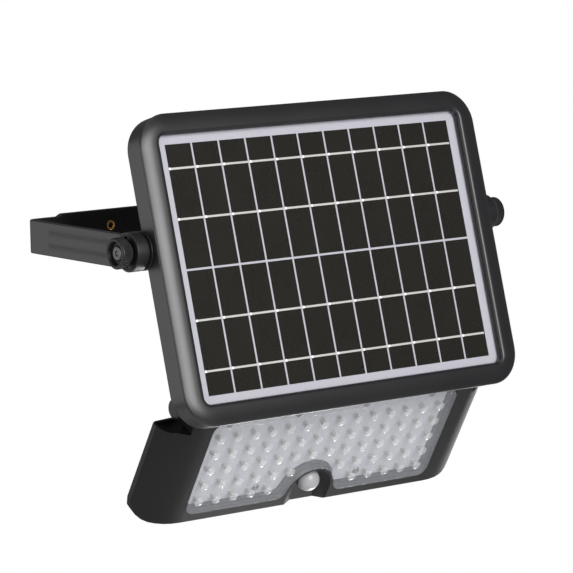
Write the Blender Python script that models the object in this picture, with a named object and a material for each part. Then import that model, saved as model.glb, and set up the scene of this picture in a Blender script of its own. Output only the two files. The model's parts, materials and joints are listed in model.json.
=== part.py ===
"""Wall-mounted solar flood light: yoke bracket, tilting solar panel head and hinged LED lamp.

Units are metres, +Z is up, the front looks along -Y.  The origin is the middle of the wall face
of the bracket.  Two local frames carry the moving assemblies:
  panel frame - origin on the thumb-screw axis, +Y into the panel's depth, +Z up its slope;
  lamp frame  - origin on the lamp hinge axis, +Y into the lamp's depth, +Z towards its top edge.
"""
import math
import bmesh
import bpy
from mathutils import Matrix, Vector

MM = 0.001
GAP = 0.3 * MM

# --- bracket ---------------------------------------------------------------------------------
REACH = 114.5 * MM            # wall face to the panel's tilt axis
STRAP = 3.2 * MM              # thickness of the arms and the base
ARM_OUTER = 142.5 * MM        # outer face of an arm
ARM_HEIGHT = 21.5 * MM
BASE_HEIGHT = 25.0 * MM
BASE_STEP = 121.5 * MM        # half length of the taller base plate
BEND_RADIUS = 6.0 * MM
BOSS_RADIUS = 12.3 * MM
BOSS_OUTER = 143.0 * MM
BOSS_INNER = 134.7 * MM
BUSH_X = 80.5 * MM
BUSH_Z = 2.0 * MM
BUSH_RADIUS = 3.1 * MM

# --- panel head ------------------------------------------------------------------------------
PANEL_TILT = math.radians(15.2)
PANEL_MID_Z = -16.5 * MM      # panel centre, measured up the slope from the tilt axis
PANEL_HALF_X = 132.4 * MM
PANEL_HALF_Z = 97.2 * MM
PANEL_RADIUS = 22.0 * MM
RAIL_SIDE = 14.2 * MM         # bezel width at the sides
RAIL_TOP = 13.7 * MM          # bezel width along the top and bottom
LIP_RADIUS = 5.0 * MM
BEZEL_BACK = -16.7 * MM
HOUSING_BACK = 0.4 * MM
HUB_FACE = 132.9 * MM
KNOB_FACE = 152.2 * MM
KNOB_RADIUS = 9.75 * MM
KNOB_DEPTH = 6.9 * MM
BOLT_RADIUS = 3.0 * MM

# --- lamp ------------------------------------------------------------------------------------
LAMP_LEAN = math.radians(31.1)
HINGE_Y = 11.2 * MM
HINGE_Z = -98.0 * MM
BARREL_RADIUS = 6.2 * MM
BARREL_OUTER = 120.2 * MM
BARREL_INNER = 113.0 * MM
LAMP_HALF = 131.0 * MM
LAMP_FACE = -15.4 * MM        # flat front face of the lamp, in the lamp frame
LAMP_FLAT = 97.6 * MM         # half length of the flat part of the front
LAMP_EDGE = -0.4 * MM         # where the swept-back wing ends
LAMP_FACE_TOP = -3.0 * MM     # upper edge of the flat front face
LAMP_CROWN = 5.5 * MM         # top of the lamp, behind the sloping brow
BROW_Y = -6.0 * MM
WING_TOP = -11.6 * MM
LAMP_BOTTOM = -84.0 * MM
LAMP_PART = 3.1 * MM          # parting plane between front housing and rear cover
LAMP_BACK = 16.0 * MM
SWEEP = 2.4                   # how late the wing turns back: the power of its curve
CORNER = 13.0 * MM
SCOOP_RADIUS = 14.7 * MM
LENS_HALF_X = 97.4 * MM
LENS_TOP = -4.6 * MM
LENS_BOTTOM = -77.4 * MM
ARCH_RADIUS = 19.5 * MM
ARCH_Z = -75.6 * MM
LED_COLUMNS = 14
LED_ROWS = 5
LED_PITCH_X = 13.56 * MM
LED_PITCH_Z = 12.58 * MM
LED_FIRST_Z = -18.8 * MM
DOME_Y = -10.7 * MM
DOME_Z = -68.4 * MM
DOME_RADIUS = 7.8 * MM
SCOOP_FLOOR = -11.2 * MM      # floor of the scoop round the sensor dome
SHELL_WALL = 2.2 * MM
EAR_ROOT = 104.0 * MM         # where the hinge ears join the housing
EAR_FACE_IN = 96.0 * MM       # inner end of the solid block behind each ear
BAY_MID_Z = -38.0 * MM        # middle of the battery bay on the rear cover
BUTTON_TRAVEL = 1.2 * MM

MATERIALS = {
    "charcoal": ((0.030, 0.031, 0.034), 0.48, 0.0),
    "arm_grey": ((0.058, 0.060, 0.064), 0.50, 0.0),
    "black": ((0.012, 0.012, 0.013), 0.45, 0.0),
    "rubber": ((0.015, 0.015, 0.016), 0.85, 0.0),
    "steel": ((0.55, 0.56, 0.58), 0.30, 1.0),
    "brass": ((0.70, 0.48, 0.18), 0.35, 1.0),
    "glass": ((0.75, 0.80, 0.82), 0.05, 0.0),
    "cells": ((0.030, 0.028, 0.032), 0.25, 0.0),
    "lens": ((0.62, 0.63, 0.68), 0.25, 0.0),
    "board": ((0.80, 0.81, 0.82), 0.45, 0.0),
    "green_board": ((0.03, 0.22, 0.09), 0.45, 0.0),
    "dome": ((0.80, 0.80, 0.82), 0.35, 0.0),
    "cell_wrap": ((0.05, 0.22, 0.48), 0.40, 0.0),
    "foam": ((0.08, 0.08, 0.08), 0.90, 0.0),
}


# --- small builders ----------------------------------------------------------------------------
def clear_scene():
    for item in list(bpy.data.objects):
        bpy.data.objects.remove(item, do_unlink=True)


def make_collections():
    parts = bpy.data.collections.new("solar_flood_light")
    cutters = bpy.data.collections.new("cutters")
    bpy.context.scene.collection.children.link(parts)
    bpy.context.scene.collection.children.link(cutters)
    return parts, cutters


def make_material(name):
    colour, roughness, metallic = MATERIALS[name]
    material = bpy.data.materials.new(name)
    material.use_nodes = True
    shader = material.node_tree.nodes["Principled BSDF"]
    shader.inputs["Base Color"].default_value = (*colour, 1.0)
    shader.inputs["Roughness"].default_value = roughness
    shader.inputs["Metallic"].default_value = metallic
    return material


def shade(mesh, angle=35.0):
    mesh.shade_smooth()
    mesh.set_sharp_from_angle(angle=math.radians(angle))


def add_part(name, mesh, finish, parent=None, location=(0, 0, 0), rotation=(0, 0, 0)):
    """A named sub-part with its own material, placed in its parent's frame."""
    piece = bpy.data.objects.new(name, mesh)
    PARTS.objects.link(piece)
    piece.parent = parent
    piece.location = location
    piece.rotation_euler = rotation
    mesh.materials.clear()
    mesh.materials.append(make_material(finish))
    shade(mesh)
    return piece


def add_cutter(name, mesh, parent=None, location=(0, 0, 0), rotation=(0, 0, 0)):
    tool = bpy.data.objects.new(name, mesh)
    CUTTERS.objects.link(tool)
    tool.parent = parent
    tool.location = location
    tool.rotation_euler = rotation
    tool.hide_render = True
    tool.display_type = "WIRE"
    return tool


def boolean(piece, tool, operation="DIFFERENCE"):
    step = piece.modifiers.new(f"{operation.lower()} {tool.name}", "BOOLEAN")
    step.operation = operation
    step.object = tool


def box_mesh(size_x, size_y, size_z, bevel=0.0):
    """A box centred on its own origin, with optional rounded edges."""
    shape = bmesh.new()
    bmesh.ops.create_cube(shape, size=1.0, matrix=Matrix.Diagonal((size_x, size_y, size_z, 1.0)))
    if bevel > 0.0:
        bmesh.ops.bevel(shape, geom=shape.edges[:], offset=bevel, segments=2, affect="EDGES",
                        profile=0.5)
    return finish_mesh(shape, "box")


def finish_mesh(shape, name):
    bmesh.ops.recalc_face_normals(shape, faces=shape.faces[:])
    mesh = bpy.data.meshes.new(name)
    shape.to_mesh(mesh)
    shape.free()
    return mesh


def turned_mesh(profile, sides=32, along="X"):
    """A solid of revolution.  profile lists (radius, distance) along the axis."""
    shape = bmesh.new()
    rings = []
    for radius, distance in profile:
        ring = []
        if radius <= 1e-7:
            ring.append(shape.verts.new((0.0, 0.0, distance)))
        else:
            for step in range(sides):
                turn = 2.0 * math.pi * step / sides
                ring.append(shape.verts.new((radius * math.cos(turn), radius * math.sin(turn), distance)))
        rings.append(ring)
    closed = profile[0][0] > 1e-7
    pairs = list(zip(rings, rings[1:]))
    if closed:
        pairs.append((rings[-1], rings[0]))
    for low, high in pairs:
        for step in range(sides):
            after = (step + 1) % sides
            corners = [low[step % len(low)], low[after % len(low)],
                       high[after % len(high)], high[step % len(high)]]
            face = list(dict.fromkeys(corners))
            shape.faces.new(face)
    turn_to = {"X": Matrix.Rotation(math.radians(90), 4, "Y"),
               "-Y": Matrix.Rotation(math.radians(90), 4, "X"),
               "Y": Matrix.Rotation(math.radians(-90), 4, "X"),
               "Z": Matrix.Identity(4)}[along]
    bmesh.ops.transform(shape, matrix=turn_to, verts=shape.verts[:])
    return finish_mesh(shape, "turned")


def rounded_outline(half_x, half_z, radius, corner_steps=6):
    """Points of a rounded rectangle, anticlockwise from the right-hand bottom corner."""
    points = []
    for corner, (sign_x, sign_z) in enumerate(((1, -1), (1, 1), (-1, 1), (-1, -1))):
        centre_x = sign_x * (half_x - radius)
        centre_z = sign_z * (half_z - radius)
        start = math.radians(-90 + 90 * corner)
        for step in range(corner_steps + 1):
            turn = start + math.radians(90) * step / corner_steps
            points.append((centre_x + radius * math.cos(turn), centre_z + radius * math.sin(turn)))
    return points


def loft_mesh(sections, closed=False):
    """Skin a row of equal-length outlines; closed joins the last to the first, else both are capped."""
    shape = bmesh.new()
    rings = [[shape.verts.new(point) for point in section] for section in sections]
    pairs = list(zip(rings, rings[1:]))
    if closed:
        pairs.append((rings[-1], rings[0]))
    for low, high in pairs:
        for step in range(len(low)):
            after = (step + 1) % len(low)
            shape.faces.new((low[step], low[after], high[after], high[step]))
    if not closed:
        shape.faces.new(rings[0])
        shape.faces.new(rings[-1])
    return finish_mesh(shape, "loft")


def panel_section(half_x, half_z, radius, depth, corner_steps=6):
    """A rounded-rectangle section of the panel head at one depth."""
    return [(x, depth, z + PANEL_MID_Z) for x, z in rounded_outline(half_x, half_z, radius, corner_steps)]


def slab(half_x, half_z, radius, front, back, corner_steps=4):
    return loft_mesh([panel_section(half_x, half_z, radius, front, corner_steps),
                      panel_section(half_x, half_z, radius, back, corner_steps)])


def join_solids(piece, tools):
    for tool in tools:
        boolean(piece, tool, "UNION")


def axis_empty(name, parent, location, turn):
    marker = bpy.data.objects.new(name, None)
    PARTS.objects.link(marker)
    marker.parent = parent
    marker.location = location
    marker.rotation_euler = (turn, 0.0, 0.0)
    marker.empty_display_size = 10 * MM
    return marker


def sides():
    return (("left", -1), ("right", 1))


# --- bracket -----------------------------------------------------------------------------------
def build_bracket():
    """A flat yoke: one strap bent round two corners, a taller base plate and a boss on each arm."""
    inner = ARM_OUTER - STRAP
    corner_steps = 6

    def corner(radius, sign):
        centre_x = sign * (ARM_OUTER - BEND_RADIUS)
        points = []
        for step in range(corner_steps + 1):
            turn = math.radians(90) * step / corner_steps
            points.append((centre_x + sign * radius * math.cos(turn),
                           -BEND_RADIUS + radius * math.sin(turn)))
        return points

    tip = -REACH
    outside = [(-ARM_OUTER, tip)] + corner(BEND_RADIUS, -1) + corner(BEND_RADIUS,
                                                                     1)[::-1] + [(ARM_OUTER, tip)]
    inside = [(-inner, tip)] + corner(BEND_RADIUS - STRAP, -1)
    inside += corner(BEND_RADIUS - STRAP, 1)[::-1] + [(inner, tip)]
    half = ARM_HEIGHT / 2
    round_off = 0.6 * MM
    sections = []
    for (x_out, y_out), (x_in, y_in) in zip(outside, inside):
        out_edge = Vector((x_out, y_out, 0.0))
        in_edge = Vector((x_in, y_in, 0.0))
        step_in = (in_edge - out_edge).normalized() * round_off
        sections.append([out_edge + Vector((0, 0, round_off - half)), out_edge
                         + Vector((0, 0, half - round_off)),
                         out_edge + step_in + Vector((0, 0, half)), in_edge - step_in + Vector((0, 0, half)),
                         in_edge + Vector((0, 0, half - round_off)), in_edge
                         + Vector((0, 0, round_off - half)),
                         in_edge - step_in - Vector((0, 0, half)), out_edge
                         + step_in - Vector((0, 0, half))])
    bracket = add_part("bracket", loft_mesh(sections), "arm_grey")
    plate = add_cutter("base_plate_form", box_mesh(2 * BASE_STEP, STRAP, BASE_HEIGHT, 0.5 * MM),
                       location=(0, -STRAP / 2, 0))
    join_solids(bracket, [plate])
    for side, sign in sides():
        boss_profile = [(0, BOSS_INNER), (BOSS_RADIUS, BOSS_INNER), (BOSS_RADIUS, BOSS_OUTER - 0.8 * MM),
                        (BOSS_RADIUS - 0.8 * MM, BOSS_OUTER), (0, BOSS_OUTER)]
        boss = add_cutter(f"boss_form_{side}", turned_mesh(boss_profile, 32),
                          location=(0, -REACH, 0), rotation=(0, 0, 0 if sign > 0 else math.pi))
        join_solids(bracket, [boss])
        bore = turned_mesh([(0, 130 * MM), (3.5 * MM, 130 * MM), (3.5 * MM, 150 * MM), (0, 150 * MM)], 20)
        boolean(bracket, add_cutter(f"bolt_bore_{side}", bore, location=(0, -REACH, 0),
                                    rotation=(0, 0, 0 if sign > 0 else math.pi)))
        channel = box_mesh(68 * MM, 1.0 * MM, 8.4 * MM)
        boolean(bracket, add_cutter(f"channel_{side}", channel,
                                    location=(sign * ARM_OUTER, -59.7 * MM, 0),
                                    rotation=(0, 0, math.radians(90))))
        hole = turned_mesh([(0, -1 * MM), (BUSH_RADIUS - 0.5 * MM, -1 * MM),
                            (BUSH_RADIUS - 0.5 * MM, 5 * MM), (0, 5 * MM)], 20, "-Y")
        boolean(bracket, add_cutter(f"bush_hole_{side}", hole, location=(sign * BUSH_X, 0, BUSH_Z)))
        build_bush(side, sign)
    return bracket


def build_bush(side, sign):
    """A brass eyelet that lines a screw hole of the base plate."""
    bore = 1.7 * MM
    barrel = BUSH_RADIUS - 0.5 * MM - GAP
    profile = [(bore, 0.4 * MM), (barrel, 0.4 * MM), (barrel, STRAP + GAP), (BUSH_RADIUS, STRAP + GAP),
               (BUSH_RADIUS, STRAP + 0.9 * MM), (BUSH_RADIUS - 0.4 * MM, STRAP + 1.3 * MM),
               (bore + 0.4 * MM, STRAP + 1.3 * MM), (bore, STRAP + 0.9 * MM)]
    add_part(f"base_bush_{side}", turned_mesh(profile, 20, "-Y"), "brass",
             location=(sign * BUSH_X, 0, BUSH_Z))


def build_knob(side, sign):
    """A knurled thumb knob: a cup with a screw head in its dish, on its own spin axis."""
    spin = axis_empty(f"knob_axis_{side}", None, (sign * KNOB_FACE, -REACH, 0), 0.0)
    spin.rotation_euler = (0, 0, 0 if sign > 0 else math.pi)
    ridges = 30
    dish = 7.3 * MM
    face = 0.0
    back = -KNOB_DEPTH
    bore = BOLT_RADIUS + GAP

    def ring(radius, depth, ridge=0.0):
        points = []
        for step in range(2 * ridges):
            turn = math.pi * step / ridges
            reach = radius - (ridge if step % 2 else 0.0)
            points.append((depth, reach * math.cos(turn), reach * math.sin(turn)))
        return points

    notch = 0.35 * MM
    sections = [ring(dish - 0.5 * MM, face - 3.4 * MM), ring(dish, face - 0.5 * MM),
                ring(dish + 0.6 * MM, face), ring(KNOB_RADIUS - 0.8 * MM, face),
                ring(KNOB_RADIUS, face - 0.8 * MM), ring(KNOB_RADIUS, face - 1.6 * MM, notch),
                ring(KNOB_RADIUS, back + 0.6 * MM, notch), ring(KNOB_RADIUS - 0.6 * MM, back),
                ring(bore, back), ring(bore, face - 3.4 * MM)]
    add_part(f"knob_{side}", loft_mesh(sections, closed=True), "black", parent=spin)
    head_top = face - 1.5 * MM
    tip = -(KNOB_FACE - 125.4 * MM)
    bolt = [(0, head_top - 0.8 * MM), (1.3 * MM, head_top - 0.8 * MM), (1.3 * MM, head_top),
            (4.2 * MM, head_top), (4.8 * MM, head_top - 0.5 * MM), (4.8 * MM, face - 3.1 * MM),
            (BOLT_RADIUS, face - 3.1 * MM), (BOLT_RADIUS, tip + 0.6 * MM),
            (BOLT_RADIUS - 0.6 * MM, tip), (0, tip)]
    add_part(f"knob_bolt_{side}", turned_mesh(bolt, 24), "steel", parent=spin)
    washer_in = BOSS_OUTER + GAP - KNOB_FACE
    washer_out = back - GAP
    washer = [(bore, washer_in), (7.4 * MM, washer_in), (7.4 * MM, washer_out), (bore, washer_out)]
    add_part(f"knob_washer_{side}", turned_mesh(washer, 28), "rubber", parent=spin)


# --- panel head --------------------------------------------------------------------------------
def build_bezel(panel):
    """The pillow-shaped frame round the glass: one profile carried round a rounded rectangle."""
    profile = [(0.0, BEZEL_BACK), (0.0, -17.6 * MM), (0.07, -18.9 * MM), (0.22, -19.8 * MM),
               (0.45, -20.2 * MM),
               (0.70, -19.9 * MM), (0.90, -18.9 * MM), (1.0, -17.9 * MM), (1.0, BEZEL_BACK)]
    sections = []
    for share, depth in profile:
        radius = PANEL_RADIUS + (LIP_RADIUS - PANEL_RADIUS) * share
        sections.append(panel_section(PANEL_HALF_X - share * RAIL_SIDE, PANEL_HALF_Z - share * RAIL_TOP,
                                      radius, depth, 8))
    add_part("panel_bezel", loft_mesh(sections, closed=True), "charcoal", parent=panel)


def build_laminate(panel):
    """Front glass, the sheet of cells behind it, its back seal and the junction box."""
    glass_front = BEZEL_BACK + GAP
    add_part("panel_glass", slab(122.2 * MM, 87.6 * MM, 4 * MM, glass_front, glass_front + 2 * MM), "glass",
             parent=panel)
    sheet_front = glass_front + 2 * MM + GAP
    add_part("cell_sheet", slab(121.8 * MM, 87.2 * MM, 4 * MM, sheet_front, sheet_front + 0.6 * MM), "cells",
             parent=panel)
    seal_front = sheet_front + 0.6 * MM + GAP
    rim = [panel_section(121.8 * MM, 87.2 * MM, 4 * MM, seal_front, 4),
           panel_section(121.8 * MM, 87.2 * MM, 4 * MM, seal_front + 0.6 * MM, 4),
           panel_section(116.0 * MM, 81.4 * MM, 4 * MM, seal_front + 0.6 * MM, 4),
           panel_section(116.0 * MM, 81.4 * MM, 4 * MM, seal_front, 4)]
    add_part("panel_seal", loft_mesh(rim, closed=True), "rubber", parent=panel)
    add_part("junction_box", box_mesh(42 * MM, 4.5 * MM, 26 * MM, 1 * MM), "black", parent=panel,
             location=(0, seal_front + 0.6 * MM / 2 + 2.6 * MM, PANEL_MID_Z + 40 * MM))


def build_rear_housing(panel):
    """The panel's back shell with its two tilt hubs and two hinge lugs."""
    ledge = -12.3 * MM
    floor = -2.4 * MM
    front = BEZEL_BACK + GAP
    sections = [panel_section(125.5 * MM, 90.0 * MM, 16 * MM, HOUSING_BACK),
                panel_section(129.6 * MM, 94.2 * MM, 19.5 * MM, HOUSING_BACK - 0.9 * MM),
                panel_section(131.5 * MM, 96.2 * MM, 21.2 * MM, HOUSING_BACK - 2.6 * MM),
                panel_section(132.0 * MM, 96.8 * MM, 22 * MM, HOUSING_BACK - 4.6 * MM),
                panel_section(132.2 * MM, 97.0 * MM, 22 * MM, front),
                panel_section(122.8 * MM, 88.2 * MM, 4.6 * MM, front),
                panel_section(122.8 * MM, 88.2 * MM, 4.6 * MM, ledge),
                panel_section(115.6 * MM, 81.0 * MM, 4.6 * MM, ledge),
                panel_section(115.6 * MM, 81.0 * MM, 4.6 * MM, floor)]
    housing = add_part("rear_housing", loft_mesh(sections), "charcoal", parent=panel)
    bulge = loft_mesh([panel_section(78 * MM, 46 * MM, 10 * MM, HOUSING_BACK - 1 * MM, 3),
                       panel_section(76 * MM, 44 * MM, 9 * MM, 5.0 * MM, 3),
                       panel_section(72 * MM, 40 * MM, 7 * MM, 7.0 * MM, 3)])
    join_solids(housing, [add_cutter("back_bulge_form", bulge, parent=panel)])
    pocket = loft_mesh([panel_section(72 * MM, 40 * MM, 7 * MM, -4 * MM, 2),
                        panel_section(70 * MM, 38 * MM, 6 * MM, 4.6 * MM, 2)])
    boolean(housing, add_cutter("back_pocket", pocket, parent=panel))
    for side, sign in sides():
        turn = (0, 0, 0 if sign > 0 else math.pi)
        hub = turned_mesh([(0, 123.1 * MM), (BOSS_RADIUS - 1 * MM, 123.1 * MM), (BOSS_RADIUS, 124.1 * MM),
                           (BOSS_RADIUS, HUB_FACE - 0.5 * MM), (BOSS_RADIUS - 0.5 * MM, HUB_FACE),
                           (0, HUB_FACE)], 32)
        join_solids(housing, [add_cutter(f"hub_form_{side}", hub, parent=panel, rotation=turn)])
        lug = box_mesh(BARREL_OUTER - BARREL_INNER - 0.4 * MM, 2 * BARREL_RADIUS + 5 * MM,
                       2 * BARREL_RADIUS - 0.6 * MM)
        middle = sign * (BARREL_OUTER + BARREL_INNER) / 2
        lug_tool = add_cutter(f"lug_form_{side}", lug, parent=panel,
                              location=(middle, HINGE_Y - BARREL_RADIUS - 2.5 * MM, HINGE_Z))
        barrel = turned_mesh([(0, BARREL_INNER), (BARREL_RADIUS, BARREL_INNER),
                              (BARREL_RADIUS, BARREL_OUTER), (0, BARREL_OUTER)], 28)
        barrel_tool = add_cutter(f"barrel_form_{side}", barrel, parent=panel,
                                 location=(0, HINGE_Y, HINGE_Z), rotation=turn)
        join_solids(housing, [lug_tool, barrel_tool])
        insert_bore = turned_mesh([(0, 124.6 * MM), (4.8 * MM, 124.6 * MM), (4.8 * MM, 130 * MM),
                                   (3.4 * MM, 130 * MM), (3.4 * MM, 140 * MM), (0, 140 * MM)], 20)
        boolean(housing, add_cutter(f"insert_bore_{side}", insert_bore, parent=panel, rotation=turn))
        pin_bore = turned_mesh([(0, 105 * MM), (2.3 * MM, 105 * MM), (2.3 * MM, 125 * MM), (0, 125 * MM)],
                               16)
        boolean(housing, add_cutter(f"pin_bore_{side}", pin_bore, parent=panel,
                                    location=(0, HINGE_Y, HINGE_Z), rotation=turn))
        insert = turned_mesh([(BOLT_RADIUS + GAP, 124.9 * MM), (4.5 * MM, 124.9 * MM),
                              (4.5 * MM, 129.6 * MM), (BOLT_RADIUS + GAP, 129.6 * MM)], 20)
        add_part(f"hub_insert_{side}", insert, "brass", parent=panel, rotation=turn)
        disc = turned_mesh([(3.5 * MM, HUB_FACE + GAP), (10.8 * MM, HUB_FACE + GAP),
                            (10.8 * MM, BOSS_INNER - GAP), (3.5 * MM, BOSS_INNER - GAP)], 28)
        add_part(f"friction_disc_{side}", disc, "black", parent=panel, rotation=turn)
        cap = turned_mesh([(0, BARREL_OUTER + GAP), (BARREL_RADIUS, BARREL_OUTER + GAP),
                           (BARREL_RADIUS, BARREL_OUTER + 0.9 * MM),
                           (BARREL_RADIUS - 0.8 * MM, BARREL_OUTER + 1.5 * MM),
                           (0, BARREL_OUTER + 1.5 * MM)], 28)
        add_part(f"hinge_cap_{side}", cap, "black", parent=panel, location=(0, HINGE_Y, HINGE_Z),
                 rotation=turn)
    return housing


def build_panel_electronics(panel, housing):
    """Charge controller in the back bulge, and the screws that close the housing from behind."""
    board_y = 2.2 * MM
    add_part("charge_board", box_mesh(88 * MM, 1.6 * MM, 46 * MM), "green_board", parent=panel,
             location=(0, board_y, PANEL_MID_Z))
    add_part("charge_coil", turned_mesh([(0, 0), (5 * MM, 0), (5 * MM, 3 * MM), (0, 3 * MM)], 16, "-Y"),
             "black",
             parent=panel, location=(22 * MM, board_y - 0.8 * MM - GAP, PANEL_MID_Z))
    places = [(sign_x * 104 * MM, PANEL_MID_Z + sign_z * 66 * MM) for sign_x in (-1, 1) for sign_z in (-1,
                                                                                                       1)]
    for index, (x, z) in enumerate(places, start=1):
        add_back_screw(f"panel_screw_{index}", panel, housing, (x, HOUSING_BACK, z))


def add_back_screw(name, parent, host, place):
    """A pan-head screw driven from behind, through a clearance hole in its host."""
    shank = 1.4 * MM
    screw = [(0, -2.0 * MM), (shank - 0.4 * MM, -2.0 * MM), (shank, -1.6 * MM), (shank, GAP),
             (2.9 * MM, GAP),
             (2.9 * MM, 1.2 * MM), (2.2 * MM, 1.9 * MM), (1.0 * MM, 2.0 * MM), (1.0 * MM, 1.2 * MM),
             (0, 1.2 * MM)]
    add_part(name, turned_mesh(screw, 14, "Y"), "steel", parent=parent, location=place)
    hole = [(0, -5 * MM), (shank + GAP, -5 * MM), (shank + GAP, 1 * MM), (0, 1 * MM)]
    boolean(host, add_cutter(f"{name}_hole", turned_mesh(hole, 12, "Y"), parent=parent, location=place))


# --- lamp --------------------------------------------------------------------------------------
def wing_front(x):
    """Depth of the lamp's front face at x: flat in the middle, swept back towards the ends."""
    beyond = max(0.0, abs(x) - LAMP_FLAT) / (LAMP_HALF - LAMP_FLAT)
    return LAMP_FACE + (LAMP_EDGE - LAMP_FACE) * beyond ** SWEEP


def lamp_low(x, inset=0.0):
    """Height of the lamp's lower edge at x, with its rounded corner."""
    start = LAMP_HALF - CORNER
    beyond = min(max(0.0, abs(x) - start), CORNER)
    rise = CORNER - math.sqrt(CORNER ** 2 - beyond ** 2)
    return LAMP_BOTTOM + inset + rise


def lamp_stations(limit):
    """Stations along the lamp, close together where its outline turns."""
    steps = [LAMP_FLAT, 104 * MM, 110 * MM, 115 * MM, 119 * MM, 123 * MM, 126.5 * MM, 129.3 * MM]
    half = [x for x in steps if x < limit - 0.4 * MM] + [limit]
    return [-x for x in reversed(half)] + half


def lamp_section(x, outline_x, front_inset, low_inset, back):
    """One cross-section of the lamp: lower edge, front face, sloping brow and crown."""
    front = wing_front(x) + front_inset
    low = lamp_low(outline_x, low_inset)
    bevel = 0.8 * MM
    crown = LAMP_CROWN - front_inset
    brow = max(BROW_Y, front + 2.8 * MM)
    return [(x, front + bevel, low), (x, front, low + bevel), (x, front, LAMP_FACE_TOP - front_inset),
            (x, brow, crown), (x, back, crown), (x, back, low)]


def lamp_body(limit, front_inset, low_inset, back):
    """A solid with the lamp's outline: sections across it, lofted from one end to the other."""
    return loft_mesh([lamp_section(x, x * LAMP_HALF / limit, front_inset, low_inset, back)
                      for x in lamp_stations(limit)])


def wing_body(limit, top, front_inset, low_inset, back):
    """The same outline with a flat top, low enough to run the whole length under the wing tops."""
    sections = []
    for x in lamp_stations(limit):
        front = wing_front(x) + front_inset
        low = lamp_low(x * LAMP_HALF / limit, low_inset)
        sections.append([(x, front, low), (x, front, top), (x, back, top), (x, back, low)])
    return loft_mesh(sections)


def lens_outline(inset, depth):
    """The lamp window: a rounded rectangle whose lower edge arches over the motion sensor."""
    half_x = LENS_HALF_X - inset
    top = LENS_TOP - inset
    bottom = LENS_BOTTOM + inset
    arch = ARCH_RADIUS + inset
    foot = 7.0 * MM - inset
    radius = 7.0 * MM - inset * 0.5
    foot_z = bottom + foot
    foot_x = math.sqrt((arch + foot) ** 2 - (foot_z - ARCH_Z) ** 2)
    meet = math.atan2(foot_z - ARCH_Z, foot_x)
    points = []
    for step in range(9):
        turn = math.pi - meet - (math.pi - 2 * meet) * step / 8
        points.append((arch * math.cos(turn), ARCH_Z + arch * math.sin(turn)))
    right_foot = []
    for step in range(1, 5):
        turn = math.pi + meet + (math.pi / 2 - meet) * step / 4
        right_foot.append((foot_x + foot * math.cos(turn), foot_z + foot * math.sin(turn)))
    points += right_foot
    for centre_x, centre_z, start in ((half_x - radius, bottom + radius, -90),
                                      (half_x - radius, top - radius, 0),
                                      (radius - half_x, top - radius, 90),
                                      (radius - half_x, bottom + radius, 180)):
        for step in range(5):
            turn = math.radians(start + 90 * step / 4)
            points.append((centre_x + radius * math.cos(turn), centre_z + radius * math.sin(turn)))
    points += [(-x, z) for x, z in reversed(right_foot)]
    return [(x, depth, z) for x, z in points]


def sensor_recess():
    """The scoop round the motion sensor: wide at the front face, narrow at its floor, open below."""
    def section(radius, centre_z, depth):
        points = []
        for step in range(13):
            turn = math.pi * step / 12
            points.append((radius * math.cos(turn), depth, centre_z + radius * math.sin(turn)))
        below = LAMP_BOTTOM - 3 * MM
        return points + [(-radius, depth, below), (radius, depth, below)]
    return loft_mesh([section(17.3 * MM, ARCH_Z + 1.5 * MM, LAMP_FACE - 1 * MM),
                      section(16.6 * MM, ARCH_Z + 1.5 * MM, LAMP_FACE + 0.4 * MM),
                      section(9.2 * MM, DOME_Z, SCOOP_FLOOR)])


def pod_outline():
    """Outline of the block behind the sensor scoop."""
    radius = 18.4 * MM
    points = [(radius * math.cos(math.pi * step / 10), ARCH_Z + radius * math.sin(math.pi * step / 10))
              for step in range(11)]
    low = LAMP_BOTTOM + 1.2 * MM
    return points + [(-radius, low), (radius, low)]


def extruded(outline, front, back):
    """A flat outline of (x, z) points given thickness along Y."""
    return loft_mesh([[(x, front, z) for x, z in outline], [(x, back, z) for x, z in outline]])


def turned_about_x(radius, start, end, sides_around=28):
    return turned_mesh([(0, start), (radius, start), (radius, end), (0, end)], sides_around)


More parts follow.
